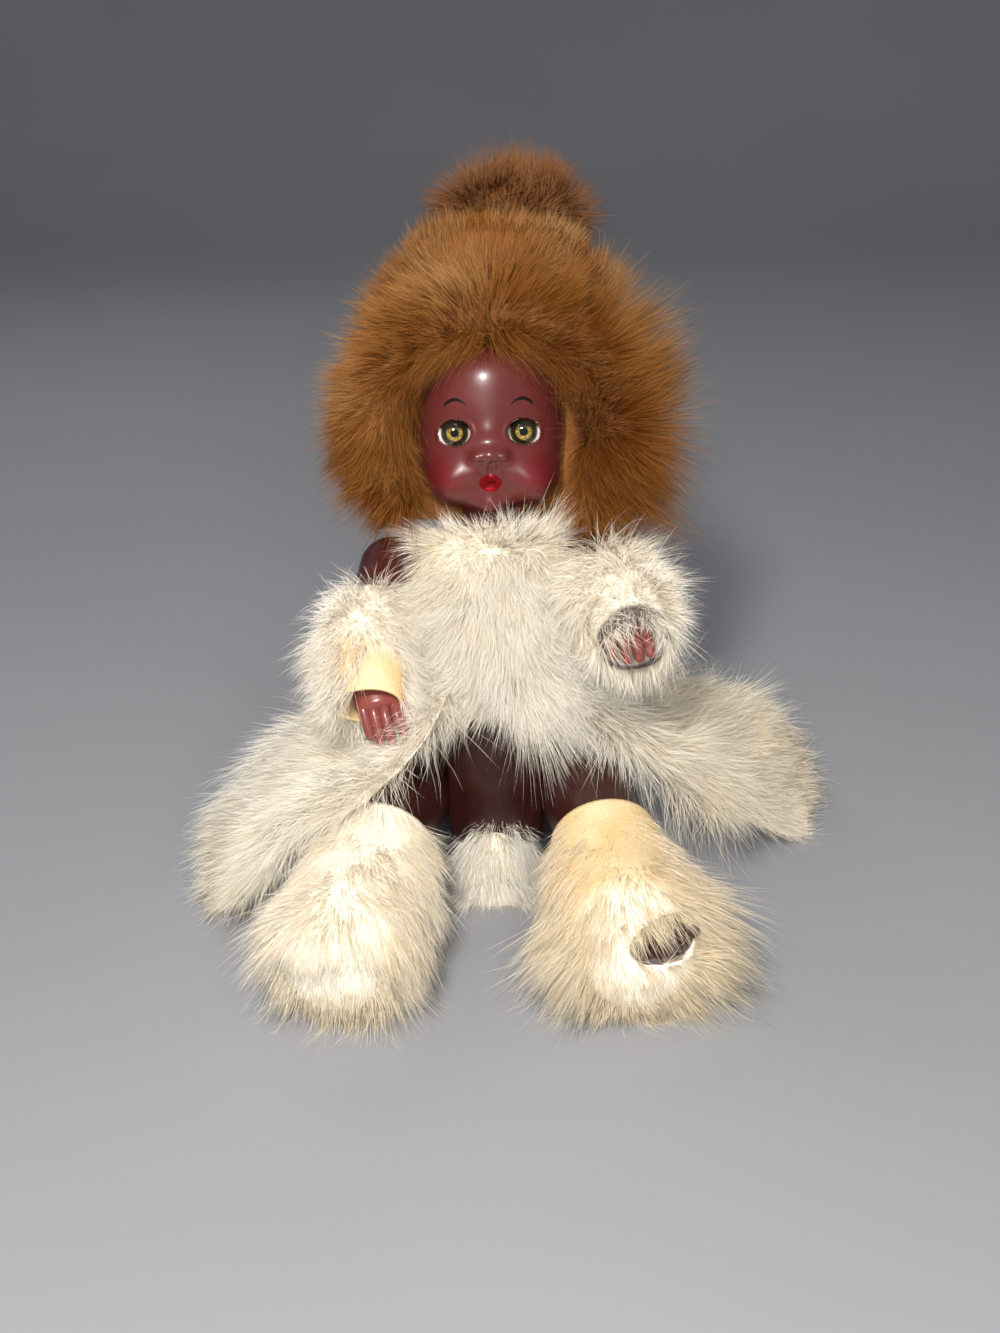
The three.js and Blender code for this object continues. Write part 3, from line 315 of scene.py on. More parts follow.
class Pelt:
    """Skin on a grid from which hair grows, with its normals and its direction along the rows."""

    def __init__(self, grid, wrap, inside=None):
        ext = np.concatenate([grid[:, -1:], grid, grid[:, :2]], 1) if wrap else grid
        around = np.gradient(ext, axis=1)
        along = np.gradient(ext, axis=0)
        normal = unit(np.cross(around, along))
        middle = grid.mean(axis=1, keepdims=True) if inside is None else np.asarray(inside, float)
        if ((ext - middle) * normal).sum() < 0:
            normal = -normal
        cut = slice(1, -1) if wrap else slice(None)
        self.sheets = [x[:, cut] for x in (ext, normal, unit(along))]
        p = self.sheets[0]
        diagonals = np.cross(p[1:, 1:] - p[:-1, :-1], p[1:, :-1] - p[:-1, 1:])
        self.area = 0.5 * np.linalg.norm(diagonals, axis=-1)

    def sow(self, count, rng, where=None):
        """Seeds scattered evenly by area, or by area times `where`: point, normal and along."""
        p, n = self.sheets[0], self.sheets[1]
        weight = self.area.copy()
        if where is not None:
            centre = 0.25 * (p[1:, 1:] + p[:-1, :-1] + p[1:, :-1] + p[:-1, 1:])
            facing = unit(n[1:, 1:] + n[:-1, :-1])
            share = where(centre.reshape(-1, 3), facing.reshape(-1, 3))
            weight = weight * np.clip(share, 0, 1).reshape(weight.shape)
        pick = rng.choice(weight.size, size=count, p=weight.ravel() / weight.sum())
        r, c = np.divmod(pick, weight.shape[1])
        a, b = rng.random((2, count, 1))
        seeds = []
        for x in self.sheets:
            low = x[r, c] * (1 - b) + x[r, c + 1] * b
            high = x[r + 1, c] * (1 - b) + x[r + 1, c + 1] * b
            seeds.append(low * (1 - a) + high * a)
        return [seeds[0]] + [unit(x) for x in seeds[1:]]


def scatter(cell, salt):
    """Three even random numbers for every whole-numbered cell."""
    h = cell[:, 0] * 127.1 + cell[:, 1] * 311.7 + cell[:, 2] * 74.7 + salt
    return np.stack([np.modf(np.abs(np.sin(h * k) * 43758.5453))[0] for k in (1.0, 1.37, 1.93)], -1)


def locks(p, size, salt):
    """Nearest of the scattered lock centres, one to a cube of this size, and three numbers of that lock."""
    home = np.floor(p / size)
    best = np.full(len(p), np.inf)
    centre, numbers = np.zeros_like(p), np.zeros_like(p)
    for k in range(27):
        cell = home + np.array([k % 3 - 1, k // 3 % 3 - 1, k // 9 - 1])
        at = (cell + scatter(cell, salt)) * size
        gap = ((at - p) ** 2).sum(1)
        near = gap < best
        best = np.where(near, gap, best)
        centre[near] = at[near]
        numbers[near] = scatter(cell[near], salt + 51.3)
    return centre, numbers


def sway(p, size, salt):
    """Slow wandering direction: sines of three slanted waves on each axis."""
    q = p / size * 2 * np.pi
    waves = np.stack([np.sin(q @ wave + salt * (i + 1)) for i, wave in enumerate(WAVES)], -1)
    return waves + 0.6 * np.sin(2.3 * np.roll(waves, 1, axis=-1) + q[:, ::-1] * 0.7)


def hair_paths(seeds, rng, groom, length, proud, segments, salt):
    """Path of every hair.

    A hair leaves along a mix of the normal and the combed direction, which never points into the hide. The
    mix is given by the first lift, and the hair bends to that of the second, drooping under its weight. Its
    lock turns it and draws its tip to the lock's middle.
    """
    p, n = seeds[:2]
    flow = unit(groom["comb"](*seeds))
    flow = unit(flow - np.minimum((flow * n).sum(1, keepdims=True), 0.0) * n)
    centre, own = locks(p, LOCK_SIZE, salt)
    ruffle = groom["ruffle"]
    wander = 0.45 * sway(p, 38.0, salt) + 0.4 * sway(p, 14.0, salt + 5.0) + 0.8 * (own - 0.5)
    stray = rng.normal(size=p.shape)
    settle = [x(p, n) if callable(x) else x for x in (*groom["lift"], groom["droop"])]
    first_rise, last_rise, droop = (np.asarray(x).reshape(-1, 1) for x in settle)
    first = unit(n * first_rise + flow * (1 - first_rise) + ruffle * (0.6 * wander + 0.32 * stray))
    last = n * last_rise + flow * (1 - last_rise) + DOWN * (droop + proud)
    last = unit(last + ruffle * (1.2 * wander + 0.5 * stray))
    t = ((np.arange(segments) + 0.5) / segments)[None, :, None]
    ways = unit(first[:, None] * (1 - t) + last[:, None] * t)
    steps = ways * (length * (0.82 + 0.36 * own[:, 1]))[:, None, None] / segments
    root = (p - ROOT_DEPTH * n)[:, None]
    path = np.concatenate([np.zeros((len(p), 1, 3)), np.cumsum(steps, axis=1)], 1) + root
    toward = centre - p
    toward = toward - (toward * n).sum(1, keepdims=True) * n
    share = (np.arange(segments + 1) / segments)[None, :, None]
    path = path + groom["pull"] * share**1.3 * toward[:, None]
    path[..., 2] = np.maximum(path[..., 2], FLOOR_GAP)
    return path, own


def hair_mesh_parts(path, radius, tone, rng, start):
    """Three-sided tapering hairs on their paths: rings of three points, and a tip.

    Points are numbered from `start`. The map runs from root to tip along V, and U is the tone of the hair.
    """
    count, stations = path.shape[:2]
    rings = stations - 1
    way = unit(np.gradient(path, axis=1))
    side = unit(np.cross(way, unit(rng.normal(size=(count, 1, 3)))))
    other = np.cross(way, side)
    t = np.linspace(0, 1, stations)
    r = (radius[:, None] * (1 - 0.75 * t**1.5))[:, :rings, None, None]
    angle = np.array([0, 2, 4]) * np.pi / 3
    ring = np.cos(angle)[:, None] * side[:, :rings, None] + np.sin(angle)[:, None] * other[:, :rings, None]
    body = (path[:, :rings, None] + r * ring).reshape(count, rings * 3, 3)
    points = np.concatenate([body, path[:, rings:]], 1)
    k, j = np.meshgrid(np.arange(rings - 1), np.arange(3), indexing="ij")
    k, j = k.ravel(), j.ravel()
    quads = np.stack([3 * k + j, 3 * k + (j + 1) % 3, 3 * k + 3 + (j + 1) % 3, 3 * k + 3 + j], -1)
    across = np.stack([j, j + 1, j + 1, j], -1) * MAP_SIDE
    quad_uv = np.stack([across, t[np.stack([k, k, k + 1, k + 1], -1)]], -1)
    j, last = np.arange(3), 3 * (rings - 1)
    tips = np.stack([last + j, last + (j + 1) % 3, np.full(3, 3 * rings)], -1)
    across = np.stack([j, j + 1, j + 0.5], -1) * MAP_SIDE
    tip_uv = np.stack([across, np.tile([t[rings - 1], t[rings - 1], 1.0], (3, 1))], -1)
    tris = np.concatenate([tips, [[2, 1, 0]]])
    root_uv = np.array([[[0, 0], [2, 0], [1, 2]]]) * MAP_SIDE
    tri_uv = np.concatenate([tip_uv, root_uv])
    base = (np.arange(count) * points.shape[1])[:, None, None] + start
    shift = np.stack([tone * 0.98, np.zeros(count)], -1)[:, None, None]
    made = ((points, 3), (quads + base, 4), (tris + base, 3), (quad_uv + shift, 2), (tri_uv + shift, 2))
    return [part.reshape(-1, width) for part, width in made]


def fur(name, pelt, body, finish, groom):
    """Fur of one garment: a dense short undercoat and longer, thinner guard hairs, in one piece."""
    settings = bpy.context.scene.fur_doll
    rng = np.random.default_rng(groom["seed"])
    under, guard = groom["hairs"]
    layers = [
        (under, groom["under"], 2, settings.under_width, 0.0),
        (guard, groom["guard"], 3, settings.guard_width, groom.get("proud", 0.12)),
    ]
    made, start = [], 0
    for count, length, segments, width, proud in layers:
        count = int(count * settings.hair_share)
        seeds = pelt.sow(count, rng, groom.get("where"))
        short = groom["trim"](seeds[0], seeds[1]) if "trim" in groom else 1.0
        long = length * short * rng.uniform(*LENGTH_SPREAD, count)
        path, own = hair_paths(seeds, rng, groom, long, proud, segments, 0.37 * groom["seed"] + proud)
        tone = groom["tone"](seeds[0]) + LOCK_TONE * (own[:, 2] - 0.5)
        tone = tone + rng.normal(0, HAIR_TONE, count) + proud
        radius = width * RADIUS_PER_WIDTH * rng.uniform(*WIDTH_SPREAD, count)
        made.append(hair_mesh_parts(path, radius, np.clip(tone, 0.0, 1.0), rng, start))
        start += len(made[-1][0])
    points, quads, tris, quad_uv, tri_uv = (np.concatenate(parts) for parts in zip(*made))
    mesh = mesh_of(name, points, [quads, tris], np.concatenate([quad_uv, tri_uv]))
    return piece(name, mesh, finish, body, ())


# Finishes

def math_node(operation, turned=False):
    """Method of a value that adds one Math node; turned, it takes its two values the other way round."""

    def method(self, other=None):
        values = (other, self) if turned else (self, other)
        inputs = {i: x for i, x in enumerate(values) if x is not None}
        return self.finish.node("ShaderNodeMath", {"operation": operation}, inputs)

    return method


class Wire:
    """A value in a node tree; arithmetic on it adds Math nodes."""

    __add__, __radd__ = math_node("ADD"), math_node("ADD", True)
    __sub__, __rsub__ = math_node("SUBTRACT"), math_node("SUBTRACT", True)
    __mul__, __rmul__ = math_node("MULTIPLY"), math_node("MULTIPLY", True)
    __truediv__, __pow__ = math_node("DIVIDE"), math_node("POWER")
    __abs__, power_of_e = math_node("ABSOLUTE"), math_node("EXPONENT")
    least, most = math_node("MINIMUM"), math_node("MAXIMUM")

    def __init__(self, finish, socket):
        self.finish, self.socket = finish, socket

    def bell(self):
        """e to the minus this."""
        return (self * -1.0).power_of_e()

    def step(self, low, high):
        """0 at low and 1 at high, with an even S between."""
        inputs = {"Value": self, "From Min": low, "From Max": high}
        return self.finish.node("ShaderNodeMapRange", {"interpolation_type": "SMOOTHSTEP"}, inputs)


class Finish:
    """A material of one main shader, whose nodes all come from `node`."""

    def __init__(self, name, **constants):
        self.material = bpy.data.materials.new(name)
        self.material.use_nodes = True
        self.tree = self.material.node_tree
        self.shader = self.tree.nodes["Principled BSDF"]
        for key, value in constants.items():
            self.shader.inputs[key.replace("_", " ")].default_value = value

    def node(self, kind, settings=None, inputs=None, out=0):
        """Node of this kind with its settings made first, then the values or links of its sockets."""
        made = self.tree.nodes.new(kind)
        for key, value in (settings or {}).items():
            if key == "stops":
                while len(made.color_ramp.elements) < len(value):
                    made.color_ramp.elements.new(0.5)
                for element, (at, colour) in zip(made.color_ramp.elements, value):
                    element.position, element.color = at, (*colour, 1.0)
            else:
                setattr(made, key, value)
        for key, value in (inputs or {}).items():
            if isinstance(value, Wire):
                self.tree.links.new(value.socket, made.inputs[key])
            else:
                made.inputs[key].default_value = value
        return Wire(self, made.outputs[out])

    def place(self, matrix=np.eye(4)):
        """Object coordinates in millimetres, in a part's own frame where one is given, mirrored or not."""
        way = matrix[:3, :3].T
        if np.linalg.det(way) < 0.0:
            way = way * np.array([[-1.0], [1.0], [1.0]])
        move = -way @ matrix[:3, 3]
        spot = self.node("ShaderNodeTexCoord", out="Object")
        a, c = math.atan2(way[2, 1], way[2, 2]), math.atan2(way[1, 0], way[0, 0])
        b = math.asin(max(-1.0, min(1.0, -way[2, 0])))
        inputs = {"Vector": spot, "Location": tuple(move), "Rotation": (a, b, c), "Scale": (1.0 / MM,) * 3}
        return self.node("ShaderNodeMapping", None, inputs)

    def axes(self, vector):
        """The three parts of a vector."""
        split = self.node("ShaderNodeSeparateXYZ", None, {0: vector})
        node = split.socket.node
        return [Wire(self, node.outputs[k]) for k in range(3)]

    def noise(self, vector, scale, detail, rough=0.55):
        """Even noise from 0 to 1."""
        inputs = {"Vector": vector, "Scale": scale, "Detail": detail, "Roughness": rough}
        return self.node("ShaderNodeTexNoise", None, inputs)

    def mix(self, share, a, b):
        """Colour a turning to colour b as the share goes from 0 to 1."""
        a, b = (c if isinstance(c, Wire) else (*c, 1.0) for c in (a, b))
        return self.node("ShaderNodeMix", {"data_type": "RGBA"}, {0: share, 6: a, 7: b}, out=2)

    def wear(self, **sockets):
        """Links values to the main shader's sockets."""
        for key, value in sockets.items():
            self.tree.links.new(value.socket, self.shader.inputs[key.replace("_", " ")])
        return self.material

    def bump(self, height, distance, strength):
        """Normal from a height, in millimetres of depth."""
        inputs = {"Height": height, "Distance": distance * MM, "Strength": strength}
        return self.node("ShaderNodeBump", None, inputs)


def hair_finish(name, tones, root, tip, gloss):
    """Hair whose tone runs from dark to light across the map, deeper at the root as painted shade deep in the
    pelt, and paler at the tip.
    """
    f = Finish(name, Roughness=0.55, Specular_IOR_Level=gloss)
    u, v, _ = f.axes(f.node("ShaderNodeUVMap", {"uv_map": HAIR_MAP}))
    tone = f.node("ShaderNodeValToRGB", {"stops": list(zip((0.0, 0.5, 1.0), tones))}, {0: u})
    # the root colour is painted shade deep in the pelt
    tone = f.mix(v.step(0.0, 0.5), f.mix(0.55, tone, root), tone)
    return f.wear(Base_Color=f.mix(v.step(0.55, 1.0) * 0.4, tone, tip))


def hide_finish(name, pale, deep, under=None, matrix=np.eye(4), bare=None, slit=None):
    """Tanned hide: cloudy colour, pebbled grain and fine creases.

    Where `under` is given, the hide has that colour under the hair and is bare along an axis of the part's
    frame: `bare` holds the axis, where it begins and where it is done; at the left sleeve's cuff the bare
    part is a grey rim and painted shade inside the opening. A `slit` is painted dark inside an ellipse, the
    shade in an opening, given by its middle and two directions over their half-lengths.
    """
    f = Finish(name, Specular_IOR_Level=0.3)
    spot = f.place(matrix)
    cloud = f.noise(spot, 0.09, 4.0)
    grain = f.node("ShaderNodeTexVoronoi", {"feature": "DISTANCE_TO_EDGE"}, {"Vector": spot, "Scale": 0.9})
    fine = f.noise(spot, 2.2, 5.0, 0.7)
    colour = f.mix(cloud.step(0.35, 0.68), pale, deep)
    colour = f.mix((1.0 - grain.step(0.0, 0.16)) * 0.35, colour, tinted(deep, 0.6))
    if under is not None:
        colour = f.mix(f.axes(spot)[bare[0]].step(*bare[1:]), under, colour)
    if slit is not None:
        off = [axis - float(middle) for axis, middle in zip(f.axes(spot), slit[0])]
        parts = [[axis * float(k) for axis, k in zip(off, way)] for way in slit[1:]]
        long, up = (x + y + z for x, y, z in parts)
        # painted shade inside the slit over the toes
        colour = f.mix((long * long + up * up).step(1.0, 0.88), colour, (0.13, 0.10, 0.095))
    height = grain.step(0.0, 0.3) * 0.6 + fine * 0.5
    return f.wear(Base_Color=colour, Roughness=0.62 + fine * 0.25, Normal=f.bump(height, 0.25, 0.7))


def moulded_finish(name, colour, shade, matrix, hand=None):
    """Glossy moulded plastic: faint clouds, fine pits, rubbed patches, a seam line and a hand paler from
    wear.
    """
    f = Finish(name, Specular_IOR_Level=0.4, Coat_Roughness=0.14, Coat_Weight=0.25)
    spot = f.place(matrix)
    cloud = f.noise(spot, 0.05, 3.0)
    rubbed = f.noise(spot, 0.16, 5.0, 0.65)
    pits = f.noise(spot, 1.7, 4.0, 0.6)
    x, _, z = f.axes(spot)
    base = f.mix(cloud.step(0.3, 0.7), colour, shade)
    if hand is not None:
        # the hand's real wear: rubbed and paler
        wear_and_shade = f.mix(rubbed.step(0.4, 0.7), hand, tinted(hand, 0.8))
        base = f.mix(z.step(-0.6 * ARM_REACH, -0.95 * ARM_REACH), base, wear_and_shade)
    line = abs(x).step(0.4, 0.0)
    base = f.mix(line * 0.4, base, tinted(colour, 0.45))
    height = pits * 0.25 + rubbed * 0.5 - line * 0.6
    rough = 0.28 + rubbed.step(0.45, 0.75) * 0.16
    return f.wear(Base_Color=base, Roughness=rough, Normal=f.bump(height, 0.12, 0.35))


def face_finish(colours):
    """Head plastic with the painted face: blushed cheeks, red lips and thin dark brows."""
    skin, lip = tuple(colours.skin), tuple(colours.lips)
    f = Finish("head_plastic", Specular_IOR_Level=0.5, Coat_Roughness=0.12)
    spot = f.place(HEAD)
    x, y, z = f.axes(spot)
    front = y.step(-6.0, -14.0)
    out = abs(x)
    cloud = f.noise(spot, 0.06, 3.0)
    grime = f.noise(spot, 0.5, 5.0, 0.65)
    base = f.mix(cloud.step(0.3, 0.72), skin, tinted(skin, 0.78))
    flush = (((out - 16.8) / 7.0) ** 2.0 + ((z + 21.4) / 6.6) ** 2.0).bell() * front
    patch = f.noise(spot, 0.35, 4.0, 0.6)
    base = f.mix(flush * (0.6 + patch * 0.3), base, tuple(colours.blush))
    arc = out - 11.9
    away = abs(z - 5.7 + arc * arc * 0.135)
    half = 0.3 + arc.step(-4.2, 0.8) * 0.36
    reach = arc.step(-4.5, -3.7) * arc.step(4.0, 3.5)
    brow = (half - away).step(-0.08, 0.08) * reach * front
    base = f.mix(brow, base, (0.006, 0.004, 0.004))
    curve = (1.0 - (out / 4.2) ** 2.0).most(0.0)
    top = curve**0.7 * 2.9 - ((out / 0.6) ** 2.0).bell() * 0.4
    low = curve**0.6 * 3.4
    mouth = z + 23.6
    lips = (top - mouth).least(mouth + low).step(-0.1, 0.14) * front
    wet = f.noise(spot, 1.3, 3.0, 0.6)
    inner = (((out / 2.6) ** 2.0) + ((z + 23.9) / 1.7) ** 2.0).step(1.2, 0.5) * front
    base = f.mix(lips, base, tinted(lip, 1.2))
    base = f.mix(inner * wet.step(0.3, 0.7) * 0.8, base, tinted(lip, 0.4))
    rough = 0.33 + grime.step(0.5, 0.8) * 0.12 + lips * 0.05
    relief = f.bump(grime * 0.3 + cloud * 0.5 + wet * inner * 4.0, 0.1, 0.3)
    coat = 0.3 - lips.most(brow).most(z.step(-21.5, -24.5)) * 0.26
    return f.wear(Base_Color=base, Roughness=rough, Metallic=lips * 0.85, Coat_Weight=coat, Normal=relief)


def eye_finish(colours):
    """Eye under clear gloss: black pupil, gold speckled ring, dark outer iris, white, painted lid shadow
    above, and a lid.
    """
    f = Finish("eye_glass", Roughness=0.08, Coat_Weight=1.0, Coat_Roughness=0.02, Specular_IOR_Level=0.6)
    spot = f.place(HEAD)
    x, _, z = f.axes(spot)
    across, up = abs(x) - EYE_AT[0], z - EYE_AT[2]
    away = (across * across + up * up) ** 0.5
    around = f.node("ShaderNodeMath", {"operation": "ARCTAN2"}, {0: up, 1: across})
    polar = f.node("ShaderNodeCombineXYZ", None, {0: away * 0.35, 1: around * 3.2, 2: x * 0.2})
    streak = f.noise(polar, 2.6, 4.0, 0.7)
    speck = f.noise(spot, 3.4, 3.0, 0.6)
    gold = f.mix(streak.step(0.4, 0.6), (0.05, 0.034, 0.004), tuple(colours.eye_gold))
    gold = f.mix(speck.step(0.55, 0.68), gold, (0.75, 0.55, 0.14))
    dark = f.mix(streak.step(0.45, 0.72), (0.008, 0.007, 0.003), (0.05, 0.038, 0.010))
    teeth = away + (streak - 0.5) * 1.3
    iris = f.mix(teeth.step(2.6, 3.1), gold, dark)
    rim = away.step(4.2, 4.35) * away.step(4.65, 4.5)
    iris = f.mix(rim * 0.3, iris, (0.18, 0.16, 0.09))
    iris = f.mix(away.step(1.65, 1.4), iris, (0.002, 0.002, 0.002))
    white = f.mix(away.step(4.8, 5.4), (0.42, 0.39, 0.37), (0.8, 0.78, 0.76))
    ball = f.mix(away.step(4.65, 4.9), iris, white)
    # painted shadow of the lid: the upper part of the ball turns near black
    ball = f.mix(up.step(0.3, 2.2), ball, (0.010, 0.008, 0.005))
    lid = (up - 4.2).step(-0.1, 0.1)
    ball = f.mix(lid, ball, tinted(colours.skin, 0.55))
    return f.wear(Base_Color=ball)


def plain_finish(name, colour, shade, rough, metal, scale, stretch=(1.0, 1.0, 1.0)):
    """Wire, cast weight, turned wood or woven cord: streaked colour with matching roughness and relief."""
    f = Finish(name, Metallic=metal)
    spot = f.place()
    drawn = f.node("ShaderNodeVectorMath", {"operation": "MULTIPLY"}, {0: spot, 1: stretch})
    grain = f.noise(drawn, scale, 5.0, 0.65)
    base = f.mix(grain.step(0.3, 0.7), colour, shade)
    return f.wear(Base_Color=base, Roughness=rough + grain * 0.2, Normal=f.bump(grain, 0.15, 0.5))


def floor_finish():
    """Pale matt studio floor with a faint cloudiness."""
    f = Finish("studio_floor", Specular_IOR_Level=0.15)
    spot = f.place()
    cloud = f.noise(spot, 0.004, 3.0)
    base = f.mix(cloud, (0.26, 0.265, 0.28), (0.29, 0.295, 0.31))
    return f.wear(Base_Color=base, Roughness=0.8 + cloud * 0.1)


# Forms of the plastic doll

# Rises of the face: x, z, spread along x, spread along z, rise
PAIRED_RISES = (
    (12.2, -5.5, 6.8, 5.6, -2.2), (5.0, -14.1, 2.2, 2.0, 2.4), (2.4, -15.9, 0.9, 0.6, -0.45),
    (5.4, -20.2, 3.0, 2.8, 0.8), (1.45, -18.4, 0.7, 1.9, 0.7),
)
HEAD_RISES = (
    (0.0, 17.5, 22.0, 10.0, 2.8), (15.2, -22.8, 8.4, 6.8, 7.2), (-14.0, -22.6, 8.2, 6.8, 6.3),
    (14.0, -28.2, 7.5, 4.6, 3.6), (-11.5, -28.4, 7.0, 4.4, 2.8), (0.0, -13.7, 4.2, 3.0, 3.6),
    (0.0, -5.6, 4.5, 2.8, 0.5), (0.0, -18.2, 0.8, 1.6, -0.3), (0.0, -22.0, 4.2, 1.6, 1.2),
    (0.0, -25.8, 3.6, 1.8, 0.8), (0.0, -23.9, 2.4, 0.8, -0.5), (0.0, -31.2, 7.0, 4.2, 6.0),
    (0.0, -29.3, 3.8, 2.2, 1.5),
    *((side * x, *rest) for x, *rest in PAIRED_RISES for side in SIDES),
)
LID_ROLL = 0.16  # breadth of the lid's rolled rim, as a share of the opening


def head_skin(rows=176, columns=276):
    """Egg, fuller in the jaw, with bell-shaped rises and hollows pushed forwards.

    Behind each eye it dips into a socket.
    """
    drop = np.linspace(0.012, np.pi - 0.012, rows)[:, None]
    s = np.linspace(-1, 1, columns, endpoint=False)[None]
    way = ball_ways(drop, np.pi * (0.56 * s + 0.44 * s**3) - np.pi / 2)
    squared = (np.sin(drop) ** 2.5 + np.abs(np.cos(drop)) ** 2.5) ** -0.4
    p = way * np.where(drop > np.pi / 2, squared, 1.0)[..., None] * HEAD_HALF
    rise = sum(high * hump(p[..., 0], x, a) * hump(p[..., 2], z, b) for x, z, a, b, high in HEAD_RISES)
    p = p + unit(0.45 * way - 0.55 * Y) * (rise * ramp(-way[..., 1], 0.05, 0.35))[..., None]
    full = hump(p[..., 2], -24.0, 8.0) * ramp(-way[..., 1], -0.1, 0.3)
    p[..., 0] *= 1.0 + 0.06 * full
    for side in SIDES:
        p = eye_socket(p, side)
    return p


def eye_socket(p, side):
    """Lid opening, an oval cut along the gaze, with a rolled rim.

    Inside it the skin follows a ball behind the eye.
    """
    eye = EYE_AT * (side, 1, 1)
    flat = p[..., ::2] - eye[::2]
    off = np.linalg.norm(flat / LID_HALF, axis=-1)
    front = p[..., 1] < -8.0
    near = front & (np.abs(off - 1.0) < 0.045)
    flat = np.where(near[..., None], flat / np.maximum(off, 1e-6)[..., None], flat)
    off = np.where(near, 1.0, off)
    inside = front & (off < 0.999)
    roll = np.clip(1.0 + LID_ROLL - off, 0, LID_ROLL) / LID_ROLL
    ridge = 0.45 * hump(off, 1.18, 0.13) - 0.75 * roll**2
    q = p.copy()
    q[..., 1] = np.where(front & ~inside, p[..., 1] - ridge, p[..., 1])
    q[..., ::2] = np.where(near[..., None], eye[::2] + flat, q[..., ::2])
    ball = EYE_RADIUS + 0.35
    theta = np.pi - (np.pi - math.asin(LID_HALF.mean() / ball)) * np.clip(off, 0, 1) ** 0.8
    ray = unit(np.concatenate([flat, np.zeros_like(flat[..., :1])], -1) + 1e-9)
    well = np.stack([ray[..., 0] * np.sin(theta), -np.cos(theta), ray[..., 1] * np.sin(theta)], -1) * ball
    return np.where(inside[..., None], well + eye, q)


def eye_ball(side, rows=48, columns=64):
    """Ball with a slight swelling over the iris."""
    drop = np.linspace(0.01, np.pi - 0.01, rows)[:, None]
    way = ball_ways(drop, round_angles(columns)[None])[..., [0, 2, 1]] * (1, -1, 1)
    swell = 0.25 * np.exp(-((drop / 0.5) ** 4))[..., None]
    return way * (EYE_RADIUS + swell) + EYE_AT * (side, 1, 1)


def torso_skin(rows=120, columns=150):
    """Turned body of oval section, with flat sides at the shoulders and arched hips cut for the thighs."""
    wide = TORSO_HALF
    outline = [
        (0.3, -25.4), (0.62 * wide, -22.6), (0.95 * wide, -4.7), (wide, 9.4), (0.92 * wide, 33.8),
        (0.95 * wide, 58.3), (0.94 * wide, 77.1), (0.8 * wide, 87.9), (15.4, 92.6), (13.6, TORSO_TOP),
        (0.3, TORSO_TOP),
    ]
    r, z = through(outline, rows).T[:, :, None]
    a = round_angles(columns)[None]
    r = np.maximum(r, 0.3)
    x, y = r * np.cos(a), 0.74 * r * np.sin(a)
    z = np.broadcast_to(z, x.shape)
    limit = np.where(z > 32.0, SHOULDER[0], 99.0)
    arch = THIGH_RADIUS + 1.5
    hip = (y**2 + z**2 < arch**2) | (z < 0) | ((y < 0) & (z < arch))
    limit = np.where(hip, HIP_FACE, limit)
    return np.stack([np.clip(x, -limit, limit), y, z], -1)


def along_limb(shares, reach, radius):
    """Stations whose places are shares of a limb's reach and whose half sizes are shares of its radius."""
    return np.array(shares) * (reach, reach, reach, radius, radius)


def arm_stations(side):
    """Spine of the hanging arm with its bent elbow and flat palm."""
    bend = -HAND_IN[side]
    shares = [
        (0, 0, 0, 1, 1), (0, 0, -0.22, 0.93, 0.95), (0, -0.03, -0.46, 0.8, 0.82),
        (0.15 * bend, -0.07, -0.68, 0.74, 0.74), (0.5 * bend, -0.08, -0.87, 0.56, 0.52),
        (0.75 * bend, -0.06, -0.96, 0.6, 0.42), (bend, -0.03, -1.05, 0.62, 0.38),
    ]
    return along_limb(shares, ARM_REACH, ARM_RADIUS)


def hand_stations(side):
    """Spines of the four fingers and the thumb, with a knuckle swelling at the middle."""
    reach, r, bend = ARM_REACH, ARM_RADIUS, -HAND_IN[side] * ARM_REACH
    root, tip = np.array([-0.035, -1.04]) * reach, np.array([0.07, -1.25]) * reach
    made = []
    for span, share in zip((-0.46, -0.155, 0.155, 0.46), (0.8, 1.0, 0.98, 0.86)):
        x = span * r
        end = root + (tip - root) * share
        mid = (root + end) / 2 - (0.8, 0.0)
        made.append([
            (x + bend, root[0] - 0.1, root[1] + 1.5, 0.16 * r, 0.2 * r),
            (1.03 * x + 1.15 * bend, *(0.5 * (root + mid) - (0.5, 0.0)), 0.165 * r, 0.2 * r),
            (1.06 * x + 1.3 * bend, *mid, 0.172 * r, 0.19 * r),
            (1.08 * x + 1.45 * bend, *(0.5 * (mid + end)), 0.155 * r, 0.165 * r),
            (1.1 * x + 1.6 * bend, *end, 0.13 * r, 0.13 * r),
        ])
    made.append([
        (-0.4 * r + 0.7 * bend, -0.05 * reach, -0.93 * reach, 0.2 * r, 0.22 * r),
        (-0.68 * r + bend, -0.01 * reach, -1.02 * reach, 0.19 * r, 0.2 * r),
        (-0.76 * r + 1.2 * bend, 0.05 * reach, -1.1 * reach, 0.15 * r, 0.15 * r),
    ])
    return made


# Spine of the leg, forward from the hip with a bent knee, and of the small foot, turned out and up
LEG_STATIONS = along_limb([
    (0, 0, 0, 0.98, 1), (0, -0.26, 0.02, 0.95, 0.95), (0, -0.54, 0.03, 0.8, 0.8),
    (0, -0.78, -0.05, 0.72, 0.7), (0, -0.97, -0.11, 0.55, 0.56), (0, -1.07, -0.09, 0.56, 0.6),
], LEG_REACH, THIGH_RADIUS)
FOOT_STATIONS = along_limb([
    (0, -1.03, -0.13, 0.54, 0.5), (0.04, -1.1, -0.06, 0.58, 0.44), (0.1, -1.17, 0, 0.52, 0.34),
], LEG_REACH, THIGH_RADIUS)
TOES = (
    # place across the foot, length, half thickness
    (-0.4, 4.6, 2.5), (-0.17, 5.4, 2.0), (0.04, 5.0, 1.9), (0.23, 4.4, 1.8), (0.4, 3.6, 1.7),
)


